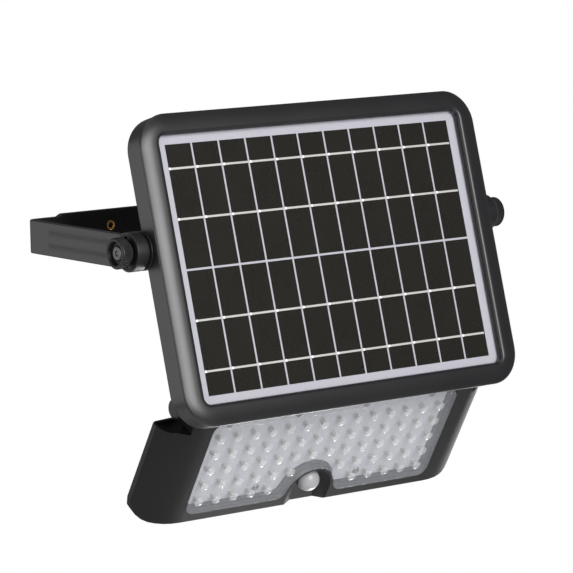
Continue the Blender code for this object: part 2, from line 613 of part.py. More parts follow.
def build_front_housing(lamp):
    """The lamp's front shell with its window, swept wings, hinge ears and sensor scoop."""
    housing = add_part("front_housing", lamp_body(LAMP_HALF, 0.0, 0.0, LAMP_PART), "black",
                       parent=lamp)
    ear_face = BARREL_INNER - GAP
    for side, sign in sides():
        turn = (0, 0, 0 if sign > 0 else math.pi)
        corner_cut = box_mesh(40 * MM, 60 * MM, 30 * MM)
        boolean(housing, add_cutter(f"wing_cut_{side}", corner_cut, parent=lamp,
                                    location=(sign * (ear_face + 20 * MM), 0, WING_TOP + 15 * MM)))
        scoop = bmesh.new()
        bmesh.ops.create_uvsphere(scoop, u_segments=24, v_segments=14, radius=SCOOP_RADIUS)
        scoop_x = sign * (BARREL_OUTER + 1.3 * MM)
        boolean(housing, add_cutter(f"hinge_scoop_{side}", finish_mesh(scoop, "scoop"), parent=lamp,
                                    location=(scoop_x, 0, 0), rotation=(0.1, 0, 0.2)))
        join_solids(housing, [add_cutter(f"ear_form_{side}",
                                         turned_about_x(BARREL_RADIUS, EAR_ROOT, ear_face),
                                         parent=lamp, rotation=turn)])
    wing_hollow = wing_body(LAMP_HALF - SHELL_WALL, WING_TOP - SHELL_WALL - 3.4 * MM, 2.6 * MM, SHELL_WALL,
                            LAMP_PART + 2 * MM)
    boolean(housing, add_cutter("shell_hollow", wing_hollow, parent=lamp))
    crown = loft_mesh([lamp_section(x, 0.0, 2.8 * MM, 50 * MM, LAMP_PART + 1 * MM)
                       for x in (-EAR_FACE_IN, EAR_FACE_IN)])
    boolean(housing, add_cutter("crown_hollow", crown, parent=lamp))
    window = loft_mesh([lens_outline(-GAP, LAMP_FACE - 2 * MM), lens_outline(-GAP, LAMP_FACE + 4 * MM)])
    boolean(housing, add_cutter("window", window, parent=lamp))
    pod = extruded(pod_outline(), LAMP_FACE + 0.5 * MM, SCOOP_FLOOR + 2.5 * MM)
    join_solids(housing, [add_cutter("sensor_pod_form", pod, parent=lamp)])
    boolean(housing, add_cutter("sensor_scoop", sensor_recess(), parent=lamp))
    seat = turned_mesh([(0, -8 * MM), (5.2 * MM, -8 * MM), (5.2 * MM, 12 * MM), (0, 12 * MM)], 20, "Y")
    boolean(housing, add_cutter("sensor_seat", seat, parent=lamp, location=(0, DOME_Y, DOME_Z)))
    for side, sign in sides():
        turn = (0, 0, 0 if sign > 0 else math.pi)
        boolean(housing, add_cutter(f"ear_bore_{side}", turned_about_x(2.3 * MM, 93 * MM, 125 * MM, 16),
                                    parent=lamp, rotation=turn))
    return housing


def rear_outline():
    """Outline of the rear cover, lower than the ears at both top corners."""
    points = [(x, lamp_low(x)) for x in lamp_stations(LAMP_HALF)]
    notch = EAR_ROOT - 1.2 * MM
    return points + [(LAMP_HALF, WING_TOP), (notch, WING_TOP), (notch, LAMP_CROWN), (-notch, LAMP_CROWN),
                     (-notch, WING_TOP), (-LAMP_HALF, WING_TOP)]


def scaled_outline(outline, margin_x, margin_top, margin_low):
    """The rear cover's outline drawn in towards its middle, keeping its notches."""
    middle = (WING_TOP + LAMP_BOTTOM) / 2
    squeeze = 1.0 - margin_x / LAMP_HALF
    points = []
    for x, z in outline:
        margin = margin_top if z > middle else -margin_low
        points.append((x * squeeze, z - margin))
    return points


def build_rear_cover(lamp):
    """The lamp's back shell: a shallow tray with a raised battery bay."""
    front = LAMP_PART + GAP
    outline = rear_outline()
    floor = front + 5.2 * MM
    cover = add_part("rear_cover", loft_mesh([
        [(x, floor, z) for x, z in scaled_outline(outline, 22 * MM, 2.6 * MM, 6 * MM)],
        [(x, floor - 3.9 * MM, z) for x, z in scaled_outline(outline, 2.0 * MM, 0.3 * MM, 0.9 * MM)],
        [(x, front, z) for x, z in outline]]), "black", parent=lamp)
    bay = loft_mesh([[(x, floor - 1.5 * MM, z) for x, z in bay_outline(0.0)],
                     [(x, LAMP_BACK - 2 * MM, z) for x, z in bay_outline(1.0 * MM)],
                     [(x, LAMP_BACK, z) for x, z in bay_outline(3.0 * MM)]])
    join_solids(cover, [add_cutter("bay_form", bay, parent=lamp)])
    hollow = loft_mesh([[(x, front - 1 * MM, z) for x, z in scaled_outline(outline, 6 * MM, 3.2 * MM,
                                                                           3.6 * MM)],
                        [(x, floor - 1.8 * MM, z) for x, z in scaled_outline(outline, 22 * MM, 4.6 * MM,
                                                                             7.6 * MM)]])
    boolean(cover, add_cutter("cover_hollow", hollow, parent=lamp))
    bay_hollow = loft_mesh([[(x, floor - 2.6 * MM, z) for x, z in bay_outline(2.2 * MM)],
                            [(x, LAMP_BACK - 1.8 * MM, z) for x, z in bay_outline(3.4 * MM)]])
    boolean(cover, add_cutter("bay_hollow", bay_hollow, parent=lamp))
    return cover


def bay_outline(inset):
    return [(x, z + BAY_MID_Z) for x, z in rounded_outline(72 * MM - inset, 26 * MM - inset,
                                                           8 * MM - inset, 3)]


def build_lens(lamp):
    """The clear lamp window, a plate with a thin stepped rim."""
    front = LAMP_FACE - 0.5 * MM
    back = LAMP_FACE + 2.2 * MM
    add_part("lamp_lens", loft_mesh([lens_outline(0.5 * MM, front), lens_outline(0.0, front + 0.5 * MM),
                                     lens_outline(0.0, back)]), "lens", parent=lamp)


def led_spots():
    """LED centres: full rows, with the two lowest rows opening round the sensor."""
    spots = []
    for row in range(LED_ROWS):
        missing = {3: 2, 4: 4}.get(row, 0)
        for column in range(LED_COLUMNS):
            offset = column - (LED_COLUMNS - 1) / 2
            if abs(offset) > missing / 2:
                spots.append((offset * LED_PITCH_X, LED_FIRST_Z - row * LED_PITCH_Z))
    return spots


def build_led_board(lamp):
    """The white LED board with its row of raised chips, shaped like the window."""
    front = LAMP_FACE + 6.0 * MM
    board = add_part("led_board", loft_mesh([lens_outline(3.0 * MM, front),
                                             lens_outline(3.0 * MM, front + 1.2 * MM)]),
                     "board", parent=lamp)
    chips = bmesh.new()
    for x, z in led_spots():
        place = Matrix.Translation((x, front - 0.2 * MM, z)) @ Matrix.Diagonal((2.8 * MM, 1.2 * MM,
                                                                                2.8 * MM, 1.0))
        bmesh.ops.create_cube(chips, size=1.0, matrix=place)
    join_solids(board, [add_cutter("led_chips", finish_mesh(chips, "chips"), parent=lamp)])


def build_sensor(lamp):
    """Motion sensor: frosted dome, metal can behind it and its small round board."""
    wall = 0.8 * MM
    arc = [math.radians(turn) for turn in (0, 18, 36, 54, 72, 90)]
    lift = SCOOP_FLOOR - GAP - DOME_Y
    outer = [(DOME_RADIUS * math.cos(turn), -DOME_RADIUS * math.sin(turn)) for turn in arc]
    inner = [((DOME_RADIUS - wall) * math.cos(turn), -(DOME_RADIUS - wall) * math.sin(turn)) for turn in arc]
    outer = [(radius, min(depth, lift)) for radius, depth in outer]
    inner = [(radius, min(depth, lift)) for radius, depth in inner]
    profile = [(0.0, outer[-1][1])] + outer[-2::-1] + inner[:-1] + [(0.0, inner[-1][1])]
    add_part("sensor_dome", turned_mesh(profile, 24, "Y"), "dome", parent=lamp, location=(0, DOME_Y, DOME_Z))
    can = [(0, -2.2 * MM), (3.6 * MM, -2.2 * MM), (4.1 * MM, -1.7 * MM), (4.1 * MM, 2.0 * MM),
           (4.6 * MM, 2.0 * MM), (4.6 * MM, 2.6 * MM), (0, 2.6 * MM)]
    add_part("sensor_can", turned_mesh(can, 20, "Y"), "steel", parent=lamp, location=(0, DOME_Y, DOME_Z))
    board = [(0, 2.9 * MM), (8.5 * MM, 2.9 * MM), (8.5 * MM, 4.1 * MM), (0, 4.1 * MM)]
    add_part("sensor_board", turned_mesh(board, 24, "Y"), "green_board", parent=lamp,
             location=(0, DOME_Y, DOME_Z))


def build_lamp_inside(lamp, cover):
    """Battery cells in their holder, driver board, mode button with its switch, and cover screws."""
    cell_radius = 9.0 * MM
    cell_y = LAMP_BACK - 2.2 * MM - cell_radius
    for index, z in enumerate((BAY_MID_Z + 10.2 * MM, BAY_MID_Z - 10.2 * MM), start=1):
        cell = [(0, -32.5 * MM), (cell_radius - 0.6 * MM, -32.5 * MM), (cell_radius, -31.9 * MM),
                (cell_radius, 31.9 * MM), (cell_radius - 0.6 * MM, 32.5 * MM), (3.0 * MM, 32.5 * MM),
                (3.0 * MM, 33.5 * MM), (0, 33.5 * MM)]
        add_part(f"battery_cell_{index}", turned_mesh(cell, 20), "cell_wrap", parent=lamp,
                 location=(-24 * MM, cell_y, z))
    add_part("battery_pad", box_mesh(60 * MM, 1.6 * MM, 40 * MM), "foam", parent=lamp,
             location=(-24 * MM, cell_y - cell_radius - 1.2 * MM, BAY_MID_Z))
    board_y = cell_y - 1 * MM
    add_part("driver_board", box_mesh(36 * MM, 1.6 * MM, 38 * MM), "green_board", parent=lamp,
             location=(40 * MM, board_y, BAY_MID_Z))
    button_place = (44 * MM, 0, BAY_MID_Z)
    switch_low = board_y + 0.8 * MM + GAP
    add_part("button_switch", box_mesh(6 * MM, 3.4 * MM, 6 * MM), "black", parent=lamp,
             location=(button_place[0], switch_low + 1.7 * MM, button_place[2]))
    hole = turned_mesh([(0, LAMP_BACK - 6 * MM), (5.3 * MM, LAMP_BACK - 6 * MM),
                        (5.3 * MM, LAMP_BACK + 3 * MM), (0, LAMP_BACK + 3 * MM)], 20, "Y")
    boolean(cover, add_cutter("button_hole", hole, parent=lamp, location=button_place))
    wall_inside = LAMP_BACK - 1.8 * MM
    stem_end = switch_low + 3.4 * MM + BUTTON_TRAVEL + GAP
    press = [(0, stem_end), (2.0 * MM, stem_end), (2.0 * MM, wall_inside - 1.6 * MM),
             (6.2 * MM, wall_inside - 1.6 * MM), (6.2 * MM, wall_inside - GAP),
             (5.0 * MM, wall_inside - GAP),
             (5.0 * MM, LAMP_BACK + 0.8 * MM), (4.4 * MM, LAMP_BACK + 1.4 * MM), (0, LAMP_BACK + 1.4 * MM)]
    add_part("mode_button", turned_mesh(press, 20, "Y"), "rubber", parent=lamp, location=button_place)
    floor = LAMP_PART + GAP + 5.2 * MM
    places = [(-79 * MM, -7 * MM), (79 * MM, -7 * MM), (-100 * MM, -68 * MM), (100 * MM, -68 * MM)]
    for index, (x, z) in enumerate(places, start=1):
        add_back_screw(f"cover_screw_{index}", lamp, cover, (x, floor, z))
    for side, sign in sides():
        turn = (0, 0, 0 if sign > 0 else math.pi)
        head = EAR_FACE_IN - GAP
        tip = BARREL_OUTER - GAP
        pin = turned_mesh([(0, head - 2 * MM), (2.2 * MM, head - 2 * MM), (2.2 * MM, head), (2.0 * MM, head),
                           (2.0 * MM, tip), (0, tip)], 16)
        add_part(f"hinge_pin_{side}", pin, "steel", parent=lamp, rotation=turn)


def main():
    clear_scene()
    panel = axis_empty("panel_tilt_axis", None, (0, -REACH, 0), -PANEL_TILT)
    lamp = axis_empty("lamp_hinge_axis", panel, (0, HINGE_Y, HINGE_Z), PANEL_TILT + LAMP_LEAN)
    build_bracket()
    for side, sign in sides():
        build_knob(side, sign)
    build_bezel(panel)
    build_laminate(panel)
    housing = build_rear_housing(panel)
    build_panel_electronics(panel, housing)
    build_front_housing(lamp)
    cover = build_rear_cover(lamp)
    build_lens(lamp)
    build_led_board(lamp)
    build_sensor(lamp)
    build_lamp_inside(lamp, cover)


clear_scene()
PARTS, CUTTERS = make_collections()
main()
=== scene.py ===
"""Solar flood light: a yoke bracket, a tilting solar panel head and a hinged LED lamp.

Lengths are metres, +Z is up and the front looks along -Y.  Shapes are worked out in three places:
  world - the frame of the bracket, its origin in the middle of the wall face;
  panel - origin on the thumb-screw axis, +Y into the panel's depth, +Z up its slope;
  lamp  - origin on the lamp hinge axis, +Y into the lamp's depth, +Z towards its top edge.
"""

import json
import math

import bmesh
import bpy
import numpy as np
from bpy.props import FloatProperty, FloatVectorProperty, IntProperty, PointerProperty
from mathutils import Matrix, Vector


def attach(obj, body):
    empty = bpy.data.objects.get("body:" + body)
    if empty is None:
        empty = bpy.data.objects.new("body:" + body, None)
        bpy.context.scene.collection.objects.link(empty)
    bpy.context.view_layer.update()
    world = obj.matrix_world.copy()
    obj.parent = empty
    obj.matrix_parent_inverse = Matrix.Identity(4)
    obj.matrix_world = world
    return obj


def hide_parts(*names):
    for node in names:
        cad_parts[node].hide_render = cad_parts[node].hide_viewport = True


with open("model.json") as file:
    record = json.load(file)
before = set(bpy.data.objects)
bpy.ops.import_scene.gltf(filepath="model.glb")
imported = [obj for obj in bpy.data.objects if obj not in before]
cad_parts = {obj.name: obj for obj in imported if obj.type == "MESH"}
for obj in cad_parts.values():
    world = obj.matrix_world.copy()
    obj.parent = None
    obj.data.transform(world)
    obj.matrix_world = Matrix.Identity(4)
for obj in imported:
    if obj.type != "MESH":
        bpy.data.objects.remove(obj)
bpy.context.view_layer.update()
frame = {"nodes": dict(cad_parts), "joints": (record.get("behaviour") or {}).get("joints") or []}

bl_info = {
    "name": "Solar flood light",
    "version": (1, 0, 0),
    "blender": (4, 5, 0),
    "location": "3D View > Sidebar > Flood light",
    "description": "Builds a wall-mounted solar flood light piece by piece round its packed frame",
    "category": "Object",
}

MM = 0.001
GAP = 0.3 * MM                # clearance between pieces that meet
JOINTS = {joint["name"]: joint for joint in frame["joints"]}
TILT_AXIS = np.array(JOINTS["panel_tilt"]["pos_m"], float)
LAMP_HINGE = np.array(JOINTS["lamp_swing"]["pos_m"], float)
PANEL_TILT = math.radians(15.2)
LAMP_LEAN = math.radians(31.1)

# --- bracket and knobs -------------------------------------------------------------------------
REACH = -float(TILT_AXIS[1])
STRAP = 3.2 * MM
ARM_OUTER = 142.5 * MM
BEND_RADIUS = 6.0 * MM
BASE_STEP = 121.5 * MM
STEP_EASE = 4.5 * MM
STRAP_EDGE = 0.9 * MM         # rounding of the strap's edges
GROOVE_Z = 4.2 * MM           # height of a groove's middle above or below the arm's
GROOVE_HALF = 0.9 * MM
GROOVE_DEPTH = 0.45 * MM
GROOVE_START = 25.7 * MM
GROOVE_END = 93.7 * MM
GROOVE_EASE = 1.0 * MM        # length over which a groove fades out
BOSS_RADIUS = 12.3 * MM
BOSS_INNER = 134.7 * MM
BOSS_OUTER = 143.0 * MM
BUSH_X = 80.5 * MM
BUSH_Z = 2.0 * MM
KNOB_FACE = float(JOINTS["knob_right_turn"]["pos_m"][0])
KNOB_DEPTH = 6.9 * MM
KNOB_RADIUS = 9.75 * MM
KNOB_RIDGES = 44

# --- panel head --------------------------------------------------------------------------------
PANEL_MID_Z = -16.5 * MM
PANEL_HALF_X = 132.4 * MM
PANEL_HALF_Z = 97.2 * MM
PANEL_RADIUS = 22.0 * MM
RAIL_TOP = 13.7 * MM
LIP_RADIUS = 5.0 * MM
BEZEL_BACK = -16.7 * MM
HOUSING_FRONT = -16.55 * MM
HOUSING_BACK = 0.4 * MM
HUB_FACE = 132.9 * MM
PANEL_SCREW_X = 104.0 * MM
PANEL_SCREW_Z = 66.0 * MM
SHEET_FRONT = -14.1 * MM
CELL_COLUMNS = 11
CELL_PITCH = 20.46 * MM
CELL_SHIFT = 0.3 * MM
WAFER = 157.6 * MM            # two half cells and the gaps between them
FINGER_PITCH = 1.7 * MM       # spacing of the printed lines on a cell

# --- lamp --------------------------------------------------------------------------------------
HINGE_Y = 11.2 * MM
HINGE_Z = -98.0 * MM
BARREL_RADIUS = 6.2 * MM
BARREL_OUTER = 120.2 * MM
BARREL_INNER = 113.0 * MM
LAMP_FACE = -15.4 * MM
LENS_HALF_X = 97.4 * MM
LENS_TOP = -4.6 * MM
LENS_BOTTOM = -77.4 * MM
ARCH_RADIUS = 19.5 * MM
ARCH_Z = -75.6 * MM
BOARD_FRONT = LAMP_FACE + 6.0 * MM
LED_COLUMNS = 14
LED_ROWS = 5
LED_PITCH_X = 13.56 * MM
LED_PITCH_Z = 12.58 * MM
LED_FIRST_Z = -18.8 * MM
DOME_Y = -10.7 * MM
DOME_Z = -68.4 * MM
DOME_RADIUS = 7.8 * MM
SCOOP_FLOOR = -11.2 * MM
LAMP_PART = 3.1 * MM          # parting plane between the lamp's front shell and its cover
COVER_RIM = 5.2 * MM          # depth of the cover's rim, where its screws sit
LAMP_BACK = 16.0 * MM
BAY_MID_Z = -38.0 * MM


# --- surfaces ----------------------------------------------------------------------------------
def turn_about_x(angle):
    """The 3 x 3 matrix of a turn about X."""
    c, s = math.cos(angle), math.sin(angle)
    return np.array([[1.0, 0.0, 0.0], [0.0, c, -s], [0.0, s, c]])


PLACES = {
    "world": (np.eye(3), np.zeros(3)),
    "panel": (turn_about_x(-PANEL_TILT), TILT_AXIS),
    "lamp": (turn_about_x(LAMP_LEAN), LAMP_HINGE),
}
ON_PANEL = ("panel_body", "panel")
ON_LAMP = ("lamp_body", "lamp")


def grid(points, wrap=False, closed=False, caps=""):
    """A surface over a rows x columns grid of points.

    wrap joins the last column to the first, closed joins the last row to the first, and caps names
    the end rows ("start", "end" or "both") that one flat face closes.
    """
    rows, columns = points.shape[:2]
    r = np.arange(rows if closed else rows - 1)[:, None]
    c = np.arange(columns if wrap else columns - 1)[None, :]
    r_next = (r + 1) % rows
    c_next = (c + 1) % columns
    corners = [r * columns + c, r * columns + c_next, r_next * columns + c_next, r_next * columns + c]
    quads = np.stack(corners, axis=-1).reshape(-1, 4)
    flats = []
    if caps in ("start", "both"):
        flats.append(np.arange(columns)[::-1])
    if caps in ("end", "both"):
        flats.append((rows - 1) * columns + np.arange(columns))
    return points.reshape(-1, 3), quads, flats


def copies(surface, offsets):
    """The same surface repeated at every offset: each point plus each offset, faces shifted to match."""
    points, quads, flats = surface
    offsets = np.asarray(offsets, float)
    all_points = (points[None, :, :] + offsets[:, None, :]).reshape(-1, 3)
    shift = np.arange(len(offsets)) * len(points)
    all_quads = (quads[None, :, :] + shift[:, None, None]).reshape(-1, 4)
    all_flats = [flat + step for step in shift for flat in flats]
    return all_points, all_quads, all_flats


def moved(surface, offset=(0, 0, 0), mirror_x=False):
    """A surface shifted by an offset, or first mirrored in the plane x = 0."""
    points, quads, flats = surface
    flip = np.array([-1.0 if mirror_x else 1.0, 1.0, 1.0])
    return points * flip + np.asarray(offset, float), quads, flats


def arc(centre, radius, start, end, steps):
    """Points round part of a circle: centre plus radius times (cosine, sine) of evenly spaced turns."""
    turn = np.radians(np.linspace(start, end, steps + 1))
    return np.stack([centre[0] + radius * np.cos(turn), centre[1] + radius * np.sin(turn)], axis=-1)


def softened(corners, radius, steps=4):
    """A line through corners, each inner corner replaced by a parabola that leaves it by radius."""
    corners = np.asarray(corners, float)
    share = np.linspace(0, 1, steps + 1)[:, None]
    line = [corners[:1]]
    for before, corner, after in zip(corners[:-2], corners[1:-1], corners[2:]):
        length_in = max(np.linalg.norm(before - corner), 1e-9)
        length_out = max(np.linalg.norm(after - corner), 1e-9)
        first = corner + (before - corner) * min(0.45, radius / length_in)
        last = corner + (after - corner) * min(0.45, radius / length_out)
        line.append((1 - share) ** 2 * first + 2 * share * (1 - share) * corner + share ** 2 * last)
    line.append(corners[-1:])
    return np.concatenate(line)


def rounded_rectangle(half_x, half_z, radius, corner_steps=12, side_steps=6):
    """An outline of four quarter circles joined by evenly divided straight sides."""
    centres = [(half_x - radius, radius - half_z), (half_x - radius, half_z - radius),
               (radius - half_x, half_z - radius), (radius - half_x, radius - half_z)]
    line = []
    for index, centre in enumerate(centres):
        quarter = arc(centre, radius, 90 * index - 90, 90 * index, corner_steps)
        after = centres[(index + 1) % 4]
        start = arc(after, radius, 90 * index, 90 * index, 1)[0]
        share = np.linspace(0, 1, side_steps + 1)[1:-1, None]
        line += [quarter, quarter[-1] * (1 - share) + start * share]
    return np.concatenate(line)


def at_depth(outline, depth):
    """An (x, z) outline set at one depth."""
    return np.stack([outline[:, 0], np.full(len(outline), depth), outline[:, 1]], axis=-1)


def panel_loft(sections, corner_steps=12, closed=False):
    """Rounded rectangles (half x, half z, radius, depth), one after another, round the panel's middle."""
    rows = [at_depth(rounded_rectangle(half_x, half_z, radius, corner_steps), depth)
            for half_x, half_z, radius, depth in sections]
    return grid(np.stack(rows) + np.array([0, 0, PANEL_MID_Z]), wrap=True, closed=closed,
                caps="" if closed else "both")


def turned(profile, sides=48, along="X", ridges=0, ridge_depth=0.0, ridge_from=0.0, ridge_to=0.0):
    """A surface of revolution: each (radius, distance) of the profile swept round the axis.

    With ridges, the radius between ridge_from and ridge_to falls by ridge_depth times a raised
    cosine of the turn, which leaves that many knurls.
    """
    profile = np.asarray(profile, float)
    turn = np.linspace(0, 2 * np.pi, sides, endpoint=False)
    radius = np.repeat(profile[:, :1], sides, axis=1)
    distance = np.repeat(profile[:, 1:], sides, axis=1)
    if ridges:
        inside = (distance >= ridge_from) & (distance <= ridge_to) & (radius > 0.8 * radius.max())
        wave = np.sqrt(0.5 - 0.5 * np.cos(ridges * turn))[None, :]
        radius = radius - np.where(inside, ridge_depth * wave, 0.0)
    first = radius * np.cos(turn)
    second = radius * np.sin(turn)
    axes = {"X": [distance, first, second], "Y": [second, distance, first],
            "-Y": [first, -distance, second]}[along]
    return grid(np.stack(axes, axis=-1), wrap=True)


def rounded_box(size, radius, steps=3):
    """A box whose outline is a rounded rectangle and whose front and back edges are quarter rounds."""
    half = np.asarray(size, float) / 2
    turn = np.radians(np.linspace(0, 90, steps + 1))
    inset = radius * (1 - np.sin(turn))
    depth = half[1] - radius + radius * np.cos(turn)
    insets = np.concatenate([inset, inset[::-1]])
    depths = np.concatenate([-depth, depth[::-1]])
    rows = [at_depth(rounded_rectangle(half[0] - step, half[2] - step, max(radius - step, 1e-5), steps, 1), y)
            for step, y in zip(insets, depths)]
    return grid(np.stack(rows), wrap=True, caps="both")


def smooth_step(value, low, high):
    """0 below low, 1 above high, and a cubic ease between."""
    share = np.clip((value - low) / (high - low), 0, 1)
    return share * share * (3 - 2 * share)


def finish_mesh(mesh, crease):
    """Merges the seams and poles, turns every face outwards and sets the crease angle."""
    shape = bmesh.new()
    shape.from_mesh(mesh)
    bmesh.ops.remove_doubles(shape, verts=shape.verts[:], dist=2e-6)
    bmesh.ops.dissolve_degenerate(shape, edges=shape.edges[:], dist=1e-7)
    bmesh.ops.recalc_face_normals(shape, faces=shape.faces[:])
    shape.to_mesh(mesh)
    shape.free()
    mesh.shade_smooth()
    mesh.set_sharp_from_angle(angle=math.radians(crease))


def piece(name, surfaces, look, body, place="world", stands_for=(), slot=None, crease=38):
    """One named piece from its surfaces, set in its place and riding on its body."""
    turn, origin = PLACES[place]
    points, loops, sizes = [], [], []
    base = 0
    for surface_points, quads, flats in surfaces:
        points.append(surface_points)
        loops.append(quads.ravel() + base)
        sizes.append(np.full(len(quads), 4))
        for flat in flats:
            loops.append(flat + base)
            sizes.append(np.array([len(flat)]))
        base += len(surface_points)
    placed = np.concatenate(points) @ turn.T + origin
    corners = np.concatenate(loops)
    counts = np.concatenate(sizes)
    mesh = bpy.data.meshes.new(name)
    mesh.vertices.add(len(placed))
    mesh.vertices.foreach_set("co", placed.astype(np.float32).ravel())
    mesh.loops.add(len(corners))
    mesh.loops.foreach_set("vertex_index", corners.astype(np.int32))
    mesh.polygons.add(len(counts))
    mesh.polygons.foreach_set("loop_start", (np.cumsum(counts) - counts).astype(np.int32))
    mesh.update(calc_edges=True)
    finish_mesh(mesh, crease)
    return settle(name, mesh, look, body, stands_for)


def settle(name, mesh, look, body, stands_for=()):
    """Links a mesh as a piece, gives it the finish of that name and ties it to its body."""
    made = bpy.data.objects.new(name, mesh)
    bpy.context.scene.collection.objects.link(made)
    mesh.materials.clear()
    mesh.materials.append(bpy.data.materials[look])
    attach(made, body)
    if stands_for:
        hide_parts(*stands_for)
    return made


def refined_copy(name, node, look, body, edge=0.35 * MM, crease=32):
    """A CAD shell copied, merged and given small rounded edges."""
    mesh = frame["nodes"][node].data.copy()
    mesh.name = name
    shape = bmesh.new()
    shape.from_mesh(mesh)
    bmesh.ops.remove_doubles(shape, verts=shape.verts[:], dist=2e-6)
    bmesh.ops.dissolve_limit(shape, angle_limit=math.radians(1.0), verts=shape.verts[:],
                             edges=shape.edges[:])
    shape.to_mesh(mesh)
    shape.free()
    mesh.shade_smooth()
    mesh.set_sharp_from_angle(angle=math.radians(crease))
    made = settle(name, mesh, look, body, (node,))
    rounding = made.modifiers.new("small edges", "BEVEL")
    rounding.width = edge
    rounding.segments = 2
    rounding.limit_method = "ANGLE"
    rounding.angle_limit = math.radians(crease)
    rounding.harden_normals = True
    return made


# --- materials ---------------------------------------------------------------------------------
def new_group(name, inputs, outputs):
    """An empty shader node group with named sockets."""
    group = bpy.data.node_groups.new(name, "ShaderNodeTree")
    for socket, kind, default in inputs:
        made = group.interface.new_socket(socket, in_out="INPUT", socket_type=kind)
        if default is not None:
            made.default_value = default
    for socket, kind in outputs:
        group.interface.new_socket(socket, in_out="OUTPUT", socket_type=kind)
    return group, group.nodes.new("NodeGroupInput"), group.nodes.new("NodeGroupOutput")


def math_node(tree, operation, first, second=0.0):
    node = tree.nodes.new("ShaderNodeMath")
    node.operation = operation
    for socket, value in zip(node.inputs, (first, second)):
        if isinstance(value, (int, float)):
            socket.default_value = value
        else:
            tree.links.new(value, socket)
    return node.outputs[0]


def noise_node(tree, vector, scale, detail=2.0):
    node = tree.nodes.new("ShaderNodeTexNoise")
    node.inputs["Detail"].default_value = detail
    tree.links.new(vector, node.inputs["Vector"])
    if isinstance(scale, (int, float)):
        node.inputs["Scale"].default_value = scale
    else:
        tree.links.new(scale, node.inputs["Scale"])
    return node.outputs["Fac"]


def mix_node(tree, share, first, second):
    node = tree.nodes.new("ShaderNodeMix")
    node.data_type = "RGBA"
    tree.links.new(share, node.inputs["Factor"])
    for socket, value in ((node.inputs["A"], first), (node.inputs["B"], second)):
        if isinstance(value, tuple):
            socket.default_value = value
        else:
            tree.links.new(value, socket)
    return node.outputs["Result"]


def build_grain_group():
    """Moulded or painted grain: fine noise for the height and roughness, broad noise for the colour."""
    group, given, result = new_group(
        "surface grain",
        [("Vector", "NodeSocketVector", None), ("Colour", "NodeSocketColor", (0.02, 0.02, 0.02, 1)),
         ("Shade", "NodeSocketColor", (0.01, 0.01, 0.01, 1)), ("Grain Scale", "NodeSocketFloat", 1800.0),
         ("Cloud Scale", "NodeSocketFloat", 28.0), ("Roughness", "NodeSocketFloat", 0.4),
         ("Roughness Spread", "NodeSocketFloat", 0.1)],
        [("Colour", "NodeSocketColor"), ("Roughness", "NodeSocketFloat"), ("Height", "NodeSocketFloat")])
    fine = noise_node(group, given.outputs["Vector"], given.outputs["Grain Scale"])
    broad = noise_node(group, given.outputs["Vector"], given.outputs["Cloud Scale"], 4.0)
    both = math_node(group, "ADD", math_node(group, "MULTIPLY", fine, 0.35),
                     math_node(group, "MULTIPLY", broad, 0.65))
    colour = mix_node(group, both, given.outputs["Shade"], given.outputs["Colour"])
    group.links.new(colour, result.inputs["Colour"])
    swing = math_node(group, "MULTIPLY", math_node(group, "SUBTRACT", both, 0.5),
                      given.outputs["Roughness Spread"])
    group.links.new(math_node(group, "ADD", given.outputs["Roughness"], swing), result.inputs["Roughness"])
    group.links.new(fine, result.inputs["Height"])
    return group


def build_finger_group():
    """Printed cell lines: a fine wave across the strips for the fingers and noise for the wafer's cloud."""
    group, given, result = new_group(
        "cell fingers",
        [("Vector", "NodeSocketVector", None), ("Wafer", "NodeSocketColor", (0.02, 0.02, 0.02, 1)),
         ("Finger", "NodeSocketColor", (0.1, 0.1, 0.1, 1)), ("Line Scale", "NodeSocketFloat", 160.0)],
        [("Colour", "NodeSocketColor"), ("Roughness", "NodeSocketFloat")])
    wave = group.nodes.new("ShaderNodeTexWave")
    wave.wave_type = "BANDS"
    wave.bands_direction = "X"
    group.links.new(given.outputs["Vector"], wave.inputs["Vector"])
    group.links.new(given.outputs["Line Scale"], wave.inputs["Scale"])
    line = math_node(group, "POWER", wave.outputs["Fac"], 12.0)
    cloud = noise_node(group, given.outputs["Vector"], 45.0, 3.0)
    strength = math_node(group, "ADD", math_node(group, "MULTIPLY", cloud, 0.3), 0.05)
    share = math_node(group, "MULTIPLY", line, strength)
    colour = mix_node(group, share, given.outputs["Wafer"], given.outputs["Finger"])
    group.links.new(colour, result.inputs["Colour"])
    rough = math_node(group, "ADD", math_node(group, "MULTIPLY", cloud, 0.12), 0.22)
    group.links.new(rough, result.inputs["Roughness"])
    return group


def coordinates(tree, lean=0.0):
    """Object coordinates, turned about X so that a pattern lines up with a leaning part."""
    source = tree.nodes.new("ShaderNodeTexCoord")
    if not lean:
        return source.outputs["Object"]
    turn = tree.nodes.new("ShaderNodeMapping")
    turn.inputs["Rotation"].default_value = (lean, 0.0, 0.0)
    tree.links.new(source.outputs["Object"], turn.inputs["Vector"])
    return turn.outputs["Vector"]


def start_material(name, constants):
    """A material with its Principled shader's constants set, and that shader."""
    material = bpy.data.materials.new(name)
    material.use_nodes = True
    shader = material.node_tree.nodes["Principled BSDF"]
    for socket, value in constants.items():
        shader.inputs[socket].default_value = value
    return material, material.node_tree, shader


